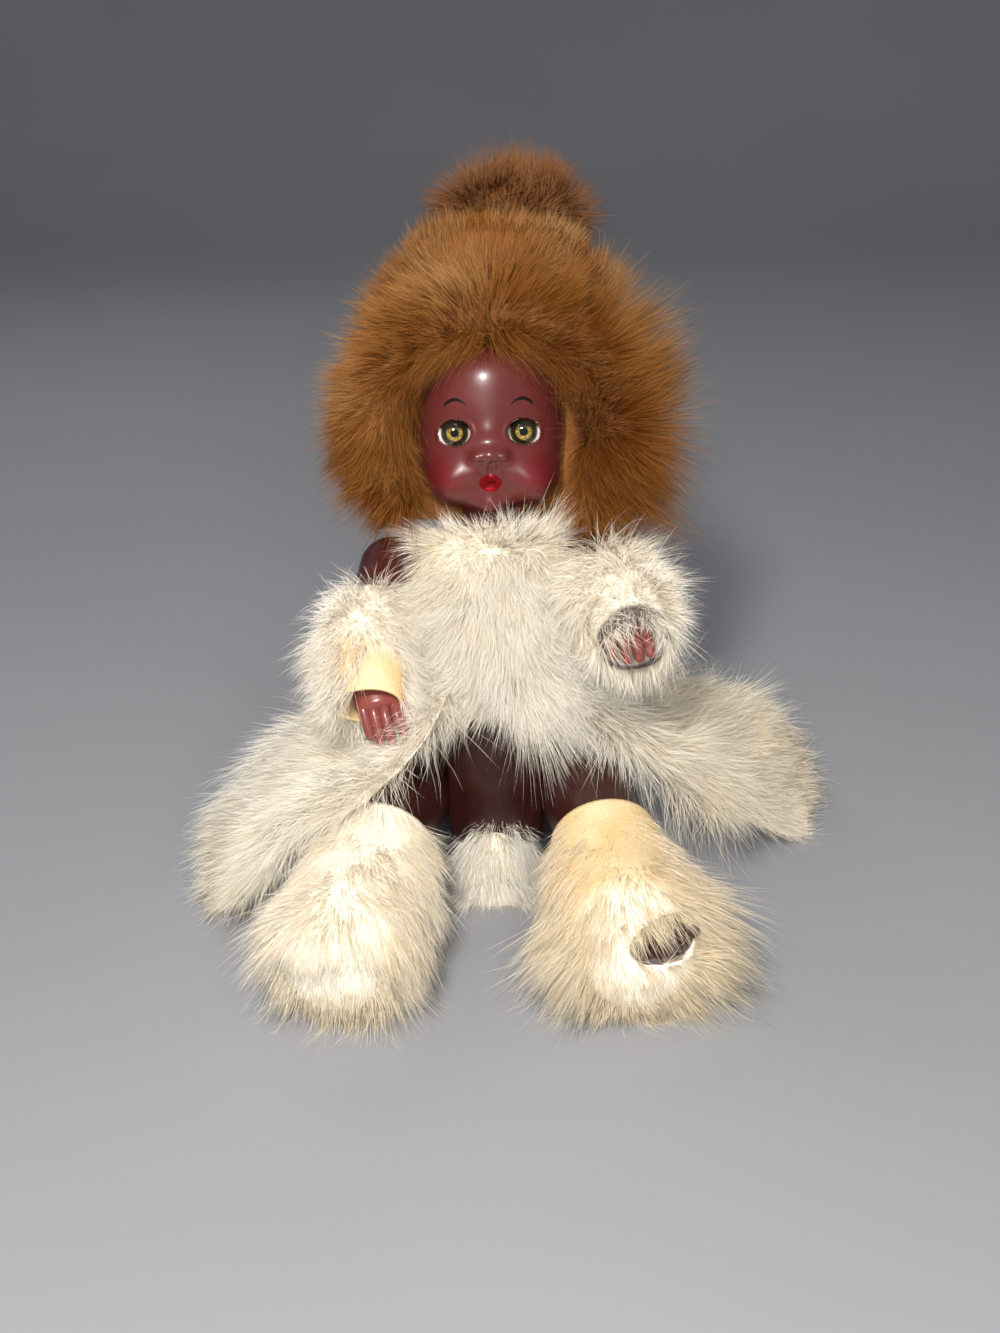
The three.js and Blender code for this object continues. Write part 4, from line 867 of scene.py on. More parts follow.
def toe_stations():
    """Five short toes fanned over the end of the foot."""
    way = unit(np.array([0.06, -0.07, 0.06]))
    across = unit(np.cross(way, np.array([0.0, 0.4, 1.0])))
    made = []
    for span, long, fat in TOES:
        at = FOOT_STATIONS[-1, :3] + across * span * THIGH_RADIUS
        steps = ((-2.0, fat), (0.5 * long, fat), (long, 0.8 * fat))
        made.append([(*(at + way * step), half, half) for step, half in steps])
    return made


# Operators

class FurDollColours(bpy.types.PropertyGroup):
    """Colours of the plastic, the paint and the bare hide."""

    skin: FloatVectorProperty(
        name="Skin", description="Glossy plastic of the head", default=(0.105, 0.019, 0.017), subtype="COLOR")
    # The limbs' plastic is darker than the head's skin though it is the same plastic: painted shade.
    limbs: FloatVectorProperty(
        name="Limbs", description="Plastic of arms and legs", default=(0.05, 0.011, 0.009), subtype="COLOR")
    hands: FloatVectorProperty(
        name="Hands", description="Worn plastic of the hands", default=(0.20, 0.048, 0.040), subtype="COLOR")
    blush: FloatVectorProperty(
        name="Blush", description="Paint on the cheeks", default=(0.13, 0.006, 0.012), subtype="COLOR")
    lips: FloatVectorProperty(
        name="Lips", description="Paint on the lips", default=(0.23, 0.004, 0.008), subtype="COLOR")
    eye_gold: FloatVectorProperty(
        name="Eye gold", description="Speckled ring of the eyes", default=(0.40, 0.25, 0.03), subtype="COLOR")
    hide: FloatVectorProperty(
        name="Hide", description="Bare edges of the pelts", default=(0.83, 0.64, 0.37), subtype="COLOR")


class FurDollSettings(bpy.types.PropertyGroup):
    """Amount and thickness of the hair."""

    hair_share: FloatProperty(
        name="Hair amount", description="Share of the full number of hairs",
        default=1.0, min=0.02, max=1.2, subtype="FACTOR")
    under_width: FloatProperty(
        name="Undercoat width", description="Root width of an undercoat tuft",
        default=0.00017, min=0.00005, unit="LENGTH")
    guard_width: FloatProperty(
        name="Guard hair width", description="Root width of a guard hair",
        default=0.00011, min=0.00005, unit="LENGTH")
    colours: PointerProperty(type=FurDollColours)


class FURDOLL_OT_head(bpy.types.Operator):
    """Moulded head with its face and neck"""

    bl_idname = "fur_doll.head"
    bl_label = "Head"

    def execute(self, context):
        finish = face_finish(context.scene.fur_doll.colours)
        neck = tube([(0, 0, -48.2, 11, 11), (0, 0, -36, 11, 11), (0, 0, -24, 11.5, 11.5)], X, 14, 48)
        grids = [carry(HEAD, g) for g in (head_skin(), neck)]
        shell_piece("head", grids, finish, "head", ("head_front", "head_back"))
        return {"FINISHED"}


class FURDOLL_OT_eyes(bpy.types.Operator):
    """Pair of rocking amber eyes"""

    bl_idname = "fur_doll.eyes"
    bl_label = "Eyes"

    def execute(self, context):
        finish = eye_finish(context.scene.fur_doll.colours)
        for side, word in SIDES.items():
            grids = [carry(HEAD, eye_ball(side))]
            shell_piece(f"{word}_eye_ball", grids, finish, "eyes", (f"{word}_eye",))
        return {"FINISHED"}


class FURDOLL_OT_body(bpy.types.Operator):
    """Moulded body with its shoulder and hip sockets"""

    bl_idname = "fur_doll.body"
    bl_label = "Body"

    def execute(self, context):
        colour = context.scene.fur_doll.colours.limbs
        # The body's plastic is tinted darker still: painted shade under the coat's hem.
        finish = moulded_finish("body_plastic", tinted(colour, 0.45), tinted(colour, 0.35), TORSO)
        grids = [carry(TORSO, torso_skin())]
        shell_piece("body", grids, finish, "torso", ("torso_front", "torso_back"))
        return {"FINISHED"}


class FURDOLL_OT_limbs(bpy.types.Operator):
    """Arms with hands, and legs with feet"""

    bl_idname = "fur_doll.limbs"
    bl_label = "Limbs"

    def execute(self, context):
        colours = context.scene.fur_doll.colours
        plastic, hands = colours.limbs, tuple(colours.hands)
        for side, word in SIDES.items():
            arm = [tube(arm_stations(side), X, 70, 48, ends=(0.95 * ARM_RADIUS, 3.0))]
            arm += [tube(s, X, 16, 18, ends=(0, 1.4)) for s in hand_stations(side)]
            leg = [tube(LEG_STATIONS, X, 80, 56, ends=(0.9 * THIGH_RADIUS, 6))]
            leg += [tube(FOOT_STATIONS, X, 24, 36, ends=(5, 5))]
            leg += [tube(s, X, 10, 16, ends=(0, 1.5)) for s in toe_stations()]
            limbs = (
                (f"{word}_arm", arm, arm_place(side), 1.2, 0.9, hands),
                # legs tinted darker than the arms: painted shade under the coat
                (f"{word}_leg", leg, leg_place(side), 0.8, 0.6, None),
            )
            for name, grids, at, light, shade, hand in limbs:
                tints = tinted(plastic, light), tinted(plastic, shade)
                finish = moulded_finish(f"{name}_plastic", *tints, at, hand)
                grids = [carry(at, g) for g in grids]
                shell_piece(name, grids, finish, name, (f"{name}_outer", f"{name}_inner"))
        return {"FINISHED"}


class FURDOLL_OT_stringing(bpy.types.Operator):
    """Finishes of the elastic, hook, toggles and eye gear inside"""

    bl_idname = "fur_doll.stringing"
    bl_label = "Stringing"

    def execute(self, context):
        steel = plain_finish(
            "drawn_steel", (0.42, 0.42, 0.41), (0.28, 0.28, 0.27), rough=0.25, metal=1.0, scale=0.8,
            stretch=(0.2, 1, 1))
        lead = plain_finish(
            "cast_lead", (0.16, 0.165, 0.18), (0.09, 0.09, 0.1), rough=0.45, metal=1.0, scale=0.6)
        beech = plain_finish(
            "turned_beech", (0.52, 0.31, 0.14), (0.36, 0.19, 0.08), rough=0.45, metal=0.0, scale=0.7,
            stretch=(0.3, 2.0, 2.0))
        elastic = plain_finish(
            "woven_elastic", (0.68, 0.63, 0.55), (0.5, 0.46, 0.4), rough=0.7, metal=0.0, scale=1.4,
            stretch=(0.6, 2.5, 2.5))
        wears = {"eye_rocker": steel, "eye_bearing": steel, "neck_hook": steel, "eye_weight": lead}
        wears |= {"shoulder_elastic": elastic, "hip_elastic": elastic, "neck_toggle": beech}
        wears |= {f"{w}_{limb}_toggle": beech for w in SIDES.values() for limb in ("arm", "leg")}
        for node, finish in wears.items():
            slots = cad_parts[node].material_slots
            if not len(slots):
                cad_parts[node].data.materials.append(finish)
            for held in slots:
                held.material = finish
        return {"FINISHED"}


# Hood

HEAD_AXES = HEAD[:3, :3].T
HX, HY, HZ = HEAD_AXES
FACE_MIDDLE = -8.0  # height of the face's middle in the head's frame
RUFF_HALF = (
    # left half of the ruff's spine, from its lower end to the top: x, y, z, half width, half depth
    (36.5, -13.5, -28.0, 13.0, 12.5), (43.0, -13.7, -13.0, 18.4, 17.2), (41.5, -15.5, 8.5, 18.5, 17.6),
    (27.0, -18.0, 28.0, 18.5, 17.6), (0.0, -19.0, 36.5, 18.5, 18.5),
)
CROWN_RINGS = (
    (0, 8.8, -38.5, 46.5, 40.5), (1, 8.4, -23.8, 51.5, 43.1), (2, 7.2, 3.4, 52.5, 45.1),
    (3, 6.6, 28.9, 52.5, 45.5), (4, 6.6, 46.5, 50.5, 42.5), (4, 7.2, 60.5, 42.0, 35.0),
)
POMPOM_HALF, POMPOM_SHIFT = np.array([22.0, 13.0, 12.0]), np.array([4.0, 0.0, 5.0])


def face_ways(q):
    """Away from the face's middle, and round the face from its top to either side, in the head's frame."""
    x, y, z = q.T
    up = z - FACE_MIDDLE
    out = unit(np.stack([x, 0.3 * (y + 14.0), up], -1))
    around = np.stack([up, 0 * x, -x], -1) * np.tanh(q[:, :1] / 9.0)
    return out, unit(around + 1e-6)


def parting(z):
    """Where across the hood the parting on the doll's left runs, from the top down to the cheek."""
    return 31.5 + 0.0042 * np.maximum(z - 22.0, 0.0) ** 2


def hood_flow(p, n, along):
    """Hair of the ruff: outwards from the face, swept to both sides, and apart at the parting."""
    q = in_part(HEAD, p)
    x, y, z = q.T
    out, round_face = face_ways(q)
    far = ramp(np.hypot(x, z - FACE_MIDDLE), 30.0, 60.0) * ramp(y, 8.0, -6.0)
    behind = ramp(y, -8.0, 14.0)
    low = 1.0 - 0.6 * ramp(z, -8.0, -26.0)
    sweep = np.abs(np.tanh(x / 12.0)) * (0.95 - 0.3 * far) * (1.0 - 0.65 * behind) * low
    flow = out * (0.55 + 0.35 * far + 0.2 * behind)[:, None] + round_face * sweep[:, None]
    beyond = x - parting(z)
    lobe = ramp(beyond, -1.0, 3.0) * ramp(z, -14.0, 0.0) * ramp(z, 60.0, 44.0)
    flow = flow * (1 - lobe)[:, None] + np.array([0.8, 0.2, 0.5]) * lobe[:, None]
    beside = hump(beyond, -5.0, 5.0) * ramp(z, -14.0, 0.0)
    flow = flow + np.array([-0.5, 0.0, 0.5]) * beside[:, None]
    edge = ramp((n * (out @ HEAD_AXES)).sum(1), 0.35, -0.3)
    return flow @ HEAD_AXES - HY * (0.8 * edge)[:, None]


def fringe_flow(p, n, along):
    """Hair at the inner edge of the ruff: round the face and down over the corners of the forehead."""
    q = in_part(HEAD, p)
    out, round_face = face_ways(q)
    high = ramp(q[:, 2], -8.0, 18.0)
    inwards = 0.1 + 0.25 * high + 0.4 * high * hump(q[:, 0], 0.0, 7.0)
    flow = round_face * (0.35 + 0.65 * np.abs(np.tanh(q[:, :1] / 5.0))) - out * inwards[:, None]
    return flow @ HEAD_AXES - 0.25 * HY


def fringe_grows(p, n):
    """1 on the inner edge of the ruff that looks at the face."""
    q = in_part(HEAD, p)
    facing = (n * (face_ways(q)[0] @ HEAD_AXES)).sum(1)
    return ramp(facing, -0.1, -0.5) * ramp(n @ HY, 0.45, 0.1) * ramp(q[:, 2], -34.0, -20.0)


def fringe_trim(p, n):
    """Shorter beside the cheeks than over the forehead."""
    return 0.55 + 0.45 * ramp(in_part(HEAD, p)[:, 2], -4.0, 16.0)


def crown_flow(p, n, along):
    """Hair of the crown: up in front and at the sides, back over the top, down behind and at the edge."""
    x, y, z = in_part(HEAD, p).T
    front = ramp(y, 30.0, -2.0)
    top = ramp(z, 44.0, 62.0)
    low = ramp(z, 2.0, -18.0)
    flow = HZ * ((1.7 * front - 0.7) * (1.0 - low) - low)[:, None] + HY * (0.3 + 0.6 * top)[:, None]
    return flow + HX * (0.35 * np.tanh(x / 16.0))[:, None]


def crown_grows(p, n):
    """0 where the ruff covers the front of the crown."""
    _, y, z = in_part(HEAD, p).T
    return np.where((y < -2.0) & (z < 46.0), 0.0, 1.0)


def hood_crease(p):
    """1 on the line of the parting and 0 away from it."""
    x, y, z = in_part(HEAD, p).T
    return hump(x, parting(z), 3.2) * ramp(z, -10.0, 4.0) * ramp(z, 66.0, 54.0) * (y < 10.0)


def hood_trim(p, n):
    """Short in the parting and beside the pompom, and longer at the lower ends and on the doll's left."""
    q = in_part(HEAD, p)
    x, _, z = q.T
    near = np.linalg.norm((q - POMPOM_AT - (3.0, 0.0, 3.0)) / (34.0, 24.0, 22.0), axis=1)
    beside = 0.5 + 0.5 * ramp(near, 0.9, 1.3)
    fuller = 1.0 + 0.4 * ramp(x, 18.0, 44.0) - 0.25 * ramp(x, -24.0, -44.0)
    high = 1.0 - 0.45 * ramp(z, 34.0, 58.0)
    return (1.0 - 0.65 * hood_crease(p)) * (1.0 + 0.15 * ramp(z, -16.0, -30.0)) * beside * fuller * high


def hood_tone(p):
    """Deep orange round the face, darker in the parting as painted shade, paler outwards and over the crown.
    """
    x, y, z = in_part(HEAD, p).T
    out = np.hypot(x, z + 6.0)
    patch = 0.17 * np.sin(x * 0.13 + z * 0.07) + 0.13 * np.sin(x * 0.05 - y * 0.09)
    # the parting's crease is darkened as painted shade
    return 0.6 * ramp(out, 26.0, 58.0) + 0.18 * ramp(y, -14.0, 24.0) + patch - 0.7 * hood_crease(p)


def on_side(p, side):
    """1 on one side of the hood's middle and 0 on the other."""
    return (in_part(HEAD, p)[:, 0] * side > 0) * 1.0


RUFF_GROOM = {
    "comb": hood_flow, "under": 16.0, "guard": 23.0, "lift": (0.45, 0.14), "droop": 0.02, "ruffle": 0.32,
    "pull": 0.2, "tone": hood_tone, "trim": hood_trim,
}


def make_ruff(hide, ginger):
    """Ruff: a thick roll round the face, its hair in two halves, and the fringe at its inner edge."""
    stations = [(x + 2.5, *rest) for x, *rest in RUFF_HALF]
    stations += [(2.0 - x, *rest) for x, *rest in RUFF_HALF[-2::-1]]
    ruff = carry(HEAD, tube(stations, Y, 90, 40, ends=(4, 4), grow=(-6.5, -7.5)))
    shell_piece("hood_ruff_hide", [ruff], hide, "head", ("hood_ruff",))
    pelt = Pelt(ruff, True)
    for side, word in SIDES.items():
        own = dict(RUFF_GROOM, where=lambda p, n: on_side(p, side), hairs=(10000, 3400), seed=11 + side)
        fur(f"hood_ruff_{word}_fur", pelt, "head", ginger, own)
    own = dict(
        RUFF_GROOM, comb=fringe_flow, under=14.0, guard=19.0, lift=(0.3, 0.1), droop=0.0, ruffle=0.16,
        where=fringe_grows, trim=fringe_trim, hairs=(4200, 1300), seed=15,
    )
    fur("hood_fringe_fur", pelt, "head", ginger, own)


def make_crown(hide, ginger):
    """Crown: oval rings over the head, flat in front where the ruff lies, with hair in two halves."""
    crown = tube(CROWN_RINGS, X, 60, 80, ends=(0, 9.0), grow=(-10.0, -10.0))
    crown[..., 1] = np.maximum(crown[..., 1], -4.0 - 34.0 * ramp(crown[..., 2], 40.0, 60.0))
    crown = carry(HEAD, crown)
    shell_piece("hood_crown_hide", [crown], hide, "head", ("hood_crown",))
    pelt = Pelt(crown, True)
    for side, word in SIDES.items():
        own = dict(
            RUFF_GROOM, comb=crown_flow, under=15.0, guard=20.0, lift=(0.5, 0.24),
            where=lambda p, n: crown_grows(p, n) * on_side(p, side), hairs=(7000, 2000), seed=21 + side,
        )
        fur(f"hood_crown_{word}_fur", pelt, "head", ginger, own)


def make_pompom(hide, brown):
    """Pompom: a padded core, an ellipsoid with three faint lobes, under upright fluffy hair."""
    drop = np.linspace(0.06, np.pi - 0.06, 36)[:, None]
    swing = round_angles(56)[None]
    lump = 1.0 + 0.06 * np.sin(3 * swing)[..., None] * np.sin(drop)[..., None]
    core = carry(HEAD, ball_ways(drop, swing) * lump * POMPOM_HALF + POMPOM_AT + POMPOM_SHIFT)
    middle = carry(HEAD, POMPOM_AT)
    pompom = shell_piece("pompom_core", [core], hide, "head", ("hood_pompom",))
    own = {
        "comb": lambda p, n, along: HZ * 0.8 + 0 * p, "under": 16.5, "guard": 18.0, "lift": (0.9, 0.8),
        "droop": 0.0, "ruffle": 0.55, "pull": 0.2, "proud": 0.05,
        "tone": lambda p: 0.4 + 0.3 * ramp((p - middle) @ HZ, -18.0, 22.0), "hairs": (7200, 1900), "seed": 31,
    }
    fur("pompom_fur", Pelt(core, True), "head", brown, own)


class FURDOLL_OT_hood(bpy.types.Operator):
    """Fur hood: ruff round the face, crown behind it and pompom on top"""

    bl_idname = "fur_doll.hood"
    bl_label = "Hood"

    def execute(self, context):
        hide = hide_finish("ginger_hide", (0.22, 0.08, 0.018), (0.15, 0.05, 0.01))
        ginger = hair_finish(
            "ginger_hair", ((0.13, 0.031, 0.002), (0.31, 0.112, 0.018), (0.45, 0.25, 0.10)),
            root=(0.17, 0.048, 0.006), tip=(0.56, 0.31, 0.12), gloss=0.1,
        )
        brown = hair_finish(
            "pompom_hair", ((0.085, 0.025, 0.006), (0.21, 0.08, 0.025), (0.32, 0.15, 0.062)),
            root=(0.075, 0.022, 0.006), tip=(0.34, 0.165, 0.075), gloss=0.08,
        )
        make_ruff(hide, ginger)
        make_crown(hide, ginger)
        make_pompom(hide, brown)
        return {"FINISHED"}


# Coat

CREAM_UNDER = (0.93, 0.87, 0.75)
FLAP_LINES = {
    # spine of a flap from the waist over the thigh to the floor: distance out, y, z, half width, twist
    1: (
        (19.95, 3.0, 75.2, 13.0, 0), (44.0, 0.0, 60.0, 26.0, 0), (65.6, 3.0, 49.0, 31.0, 14),
        (101.7, 16.5, 26.2, 28.0, 26), (118.0, 25.0, 9.0, 21.0, 20),
    ),
    -1: (
        (19.95, -9.0, 75.2, 16.0, 0), (34.0, -22.0, 64.0, 31.0, 0), (48.0, -28.0, 56.5, 34.0, 4),
        (65.6, -31.0, 50.0, 33.5, 12), (90.9, -33.0, 26.2, 27.0, 22), (102.5, -33.0, 9.0, 19.0, 18),
    ),
}
FLAP_WAYS = {1: (0.7, 0.75, 0.3), -1: (0.2, 0.5, 0.35)}  # sweep back, and what the front edge gains and loses
TAIL_STATIONS = (
    (0, 20, 0, 12.5, 10.2), (0, 0, 0, 13.0, 16.0), (0, -21, 0, 13.5, 24.0), (0, -37, 0, 11.5, 13.0),
)


def cream_tone(p):
    """Whiter and yellower patches of the pelt."""
    x, y, z = p.T
    patch = 0.16 * np.sin(x * 0.071 + 1.0) * np.cos(y * 0.06)
    return 0.62 + patch + 0.12 * np.sin(z * 0.09 + x * 0.03)


CREAM_GROOM = {"droop": 0.1, "ruffle": 0.42, "pull": 0.12, "tone": cream_tone}


def cream_finishes():
    """Hide and hair of the cream pelts, made once."""
    made = bpy.data.materials.get("cream_hide"), bpy.data.materials.get("cream_hair")
    if all(made):
        return made
    hide = hide_finish("cream_hide", CREAM_UNDER, (0.84, 0.76, 0.61))
    hair = hair_finish(
        "cream_hair", ((0.84, 0.70, 0.48), (0.92, 0.83, 0.67), (0.95, 0.91, 0.83)),
        root=(0.92, 0.82, 0.65), tip=(0.96, 0.93, 0.87), gloss=0.1,
    )
    return hide, hair


def coat_front_skin():
    """Front panel: an oval breast between hem and neck, as a sheet over height and breadth."""
    z = np.linspace(28.0, 94.0, 64)[:, None]
    deep = np.interp(z, (0.0, 28.2, 56.4, 79.9, 95.4), (40.2, 40.9, 39.4, 33.0, 26.1)) - 8.5
    x = np.linspace(-1.0, 1.0, 60)[None] * (28.0 - 3.0 * ramp(z, 52.0, 64.0))
    y = -deep * np.sqrt(1.0 - (x / 38.5) ** 2)
    hem = 1.0 - ramp(z, 28.0, 44.0)
    notch = 5.0 * hump(x, -4.0, 11.0) * hem
    return carry(TORSO, joined(x, y, z + notch))


def coat_back_skin():
    """Back panel: the oval back flaring from the waist to the floor behind the seat."""
    z = -33.0 + np.linspace(0.0, 1.0, 80)[:, None] * 127.0
    a = np.radians(np.linspace(-84.0, 84.0, 70))[None]
    marks = (-39.5, -13.2, 11.3, 33.8, 58.3, 79.9, 95.4)
    wide = np.interp(z, marks, (49.6, 47.5, 41.6, 36.5, 36.5, 34.0, 28.0)) - 6.0
    deep = np.interp(z, marks, (71.7, 67.8, 53.3, 41.8, 39.4, 34.5, 27.6)) - 9.0
    shoulder = 27.0 + 9.0 * ramp(np.abs(z - 79.0), 16.0, 24.0)
    x = np.clip(wide * np.sin(a), -shoulder, shoulder)
    grid = carry(TORSO, joined(x, deep * np.cos(a), z))
    grid[..., 2] = np.maximum(grid[..., 2], 1.4)
    return grid


def cloth_size(grid):
    """Breadth and length of a sheet laid flat, in metres: its area over its mean length, and that length."""
    area = Pelt(grid, False, (0, 0, 0)).area.sum() * MM**2
    length = np.linalg.norm(np.diff(grid, axis=0), axis=2).sum(0).mean() * MM
    return (area / length, length)


def solid_sheet(name, grid, inside, finish, replaces, thickness=0.0012):
    """Pelt panel of real thickness, made by Solidify from one curved sheet."""
    mesh = open_sheet(name, grid, inside)
    made = piece(name, mesh, finish, "torso", replaces)
    thick = made.modifiers.new("hide", "SOLIDIFY")
    thick.thickness, thick.offset = thickness, -1.0
    return made


def off_hand(p):
    """1 far from the right hand and less near it, where the hair is rubbed short."""
    hand = carry(arm_place(-1), np.array([-HAND_IN[-1], -0.03, -1.15]) * ARM_REACH)
    away = p - hand - (5.0, 0.0, 0.0)
    return 1.0 - 0.7 * np.exp(-((away / 16.0) ** 2).sum(axis=1))


def breast_flow(p, n, along):
    """Hair of the breast: down and out to the sides, to the right hip at the hem, and up at the neck."""
    x, _, z = p.T
    side = x - 4.0
    out = np.where(side < 0, -0.8, 0.7) * ramp(np.abs(side), 0.0, 22.0)
    hip = ramp(z, 104.0, 76.0) * ramp(x, 6.0, -12.0)
    neck = ramp(z, 118.5, 124.0)
    across = out - 0.75 * hip + 0.4 * neck * np.tanh(x / 9.0)
    return DOWN * (1.0 - 1.9 * neck)[:, None] + X * across[:, None]


def breast_trim(p, n):
    """Longer at the hem and sides, short over the parting of the hem, with a tuft before the chin."""
    x, _, z = p.T
    hem = ramp(z, 94.0, 74.0)
    part = hump(x, 2.0, 6.0) * hem
    neck = ramp(z, 108.0, 118.0)
    tuft = hump(x, 10.0, 8.0) * neck
    wide = 0.35 * ramp(np.abs(x), 12.0, 26.0)
    long = 1.0 + 0.4 * hem + wide + 0.2 * hem * ramp(x, 6.0, 16.0)
    return long * (1.0 - 0.42 * neck + 0.42 * tuft) * (1.0 - 0.45 * part) * off_hand(p)


def breast_lift(p, n):
    """Hair stands up where the neck parts it."""
    return 0.38 + 0.4 * hump(p[:, 2], 121.0, 3.5)


def back_flow(p, n, along):
    """Hair of the back: down, a little outwards, and forwards at the sides."""
    at_side = ramp(np.abs(p[:, 0]), 18.0, 30.0)
    low = 0.2 * ramp(p[:, 2], 60.0, 10.0) * (1.0 - at_side)
    return DOWN + 0.02 * X * p[:, :1] + Y * (low - 0.7 * at_side)[:, None]


def back_trim(p, n):
    """Longer at the sides."""
    return 1.0 + 0.6 * ramp(np.abs(p[:, 0]), 18.0, 30.0)


def make_panels(hide, white):
    """Front and back panels, stretched over the body."""
    inside = carry(TORSO, np.array([0.0, 0.0, 50.0]))
    front = coat_front_skin()
    panel = solid_sheet("coat_front_hide", front, inside, hide, ("coat_front",))
    cloth_size(front)
    own = dict(
        CREAM_GROOM, comb=breast_flow, under=17.0, guard=23.0, lift=(breast_lift, 0.2), trim=breast_trim,
        hairs=(12000, 3700), seed=41,
    )
    fur("coat_front_fur", Pelt(front, False, inside), "torso", white, own)
    back = coat_back_skin()
    panel = solid_sheet("coat_back_hide", back, inside, hide, ("coat_back",))
    cloth_size(back)
    own = dict(
        CREAM_GROOM, comb=back_flow, under=15.0, guard=21.0, lift=(0.4, 0.15), trim=back_trim,
        hairs=(7200, 1600), seed=42,
    )
    fur("coat_back_fur", Pelt(back, False, inside), "torso", white, own)


def make_flap(side, word, hide, white):
    """Flap: a flat tube over the thigh, with hair along it that spills over its front edge."""
    line = FLAP_LINES[side]
    stations = [(side * x, y, z, w, 5.5, side * twist) for x, y, z, w, twist in line]
    grid = tube(stations, Y, 60, 36, ends=(0, 4), grow=(-0.5, -4.3))
    grid[..., 2] = np.maximum(grid[..., 2], 0.6)
    name = f"coat_{word}_flap"
    made = shell_piece(f"{name}_hide", [grid], hide, "torso", (name,))
    cloth_size(grid[:, :19])
    swept, gains, loses = FLAP_WAYS[side]

    def front_edge(p):
        """0 behind the spine and 1 at the front edge."""
        spine = np.interp(p[:, 0] * side, [s[0] for s in line], [s[1] for s in line])
        return ramp(spine - p[:, 1], 2.0, 20.0)

    def outer_end(p):
        """0 over the thigh and 1 near the floor."""
        return ramp(p[:, 0] * side, 70.0, 96.0)

    def comb(p, n, along):
        """Along the flap, forwards at its front edge and back behind its spine."""
        edge = front_edge(p)
        forward = edge * (1.5 - 1.2 * outer_end(p))
        back = swept * (1.0 - edge)
        return along * (1.0 - 0.5 * edge)[:, None] + 0.3 * X * side + Y * (back - forward)[:, None]

    def trim(p, n):
        """Longer at the front edge over the thigh, shorter at the outer end and near the hand."""
        edge, outer = front_edge(p), outer_end(p)
        front = 1.0 + gains * edge * (1.0 - outer) - loses * edge * outer
        return front * (1.0 - 0.3 * ramp(p[:, 0] * side, 92.0, 112.0)) * off_hand(p)

    own = dict(
        CREAM_GROOM, comb=comb, under=16.0, guard=23.0, lift=(0.42, 0.16), trim=trim,
        droop=lambda p, n: 0.08 + 0.14 * front_edge(p),
        where=lambda p, n: 0.15 + ramp(n[:, 2], -0.45, 0.1),
        # darker towards the outer end of the left flap: painted shade where the doll shades it
        tone=lambda p: cream_tone(p) - 0.2 * ramp(p[:, 0], 45.0, 75.0),
        hairs=(8900, 2900), seed=44 + side,
    )
    fur(f"{name}_fur", Pelt(grid, True), "torso", white, own)


def tail_flow(p, n, along):
    """Hair of the tail: forwards on top and down in front and at the sides."""
    level, ahead = (np.maximum(d, 0.0)[:, None] for d in (n[:, 2], -n[:, 1]))
    return X * 0.03 * p[:, :1] - Y * level + DOWN * (0.4 * (1.0 - level) + ahead)


def make_tail(hide, white):
    """Tail between the legs: the upper half of an oval roll on the floor."""
    tail = tube(TAIL_STATIONS, X, 40, 40, ends=(0, 4), grow=(-3.0, -3.0))
    tail[..., 2] = np.maximum(tail[..., 2], 0.5)
    shell_piece("coat_tail_hide", [tail], hide, "torso", ("coat_tail",))
    own = dict(
        CREAM_GROOM, comb=tail_flow, under=18.0, guard=21.0, droop=0.35, ruffle=0.24,
        lift=(lambda p, n: 0.15 + 0.4 * ramp(n[:, 2], 0.2, 0.9), 0.06),
        tone=lambda p: 0.8 + 0 * p[:, 0],
        trim=lambda p, n: 1.0 - 0.4 * ramp(-n[:, 1], 0.3, 0.9),
        where=lambda p, n: ramp(p[:, 2], 0.3, 0.8) * ramp(p[:, 1], 0.0, -12.0),
        hairs=(3100, 700), seed=47,
    )
    fur("coat_tail_fur", Pelt(tail, True), "torso", white, own)


class FURDOLL_OT_coat(bpy.types.Operator):
    """Fur coat: front and back panels, two flaps and the tail"""

    bl_idname = "fur_doll.coat"
    bl_label = "Coat"

    def execute(self, context):
        hide, white = cream_finishes()
        make_panels(hide, white)
        for side, word in SIDES.items():
            make_flap(side, word, hide, white)
        make_tail(hide, white)
        return {"FINISHED"}


# Sleeves and boots

CUFF_END = {1: (0.02, -1.17), -1: (-0.05, -1.08)}  # forward and along, as shares of the arm's reach
CUFF_COMB = {1: (0.75, 0.1), -1: (1.0, 0.3)}  # along the sleeve, and down
CUFF_BARE, CUFF_LOOK = 24.0, unit(np.array([0.5, -0.75, 0.42]))  # bare hide of the right cuff: length, way
TOE_AT, TOE_DENT = np.array([7.5, -116.0, 2.0]), np.array([-2.8, 6.6, -3.2])
TOE_LONG, TOE_UP = np.array([0.82, 0.56, -0.11]), np.array([-0.13, 0.37, 0.89])
SLIT_HALF = (13.0, 7.5)
BOOT_DARKER, BOOT_START = {1: 0.6, -1: 0.35}, {1: 0.4, -1: 0.75}  # tone, and share of the length at the rim


def bare_hide(context, name, matrix, bare, slit=None):
    """Hide of a sleeve or boot, whose leather is bare at the open end."""
    pale = np.array(context.scene.fur_doll.colours.hide)
    return hide_finish(name, tuple(pale), tuple(pale * (0.94, 0.86, 0.72)), CREAM_UNDER, matrix, bare, slit)


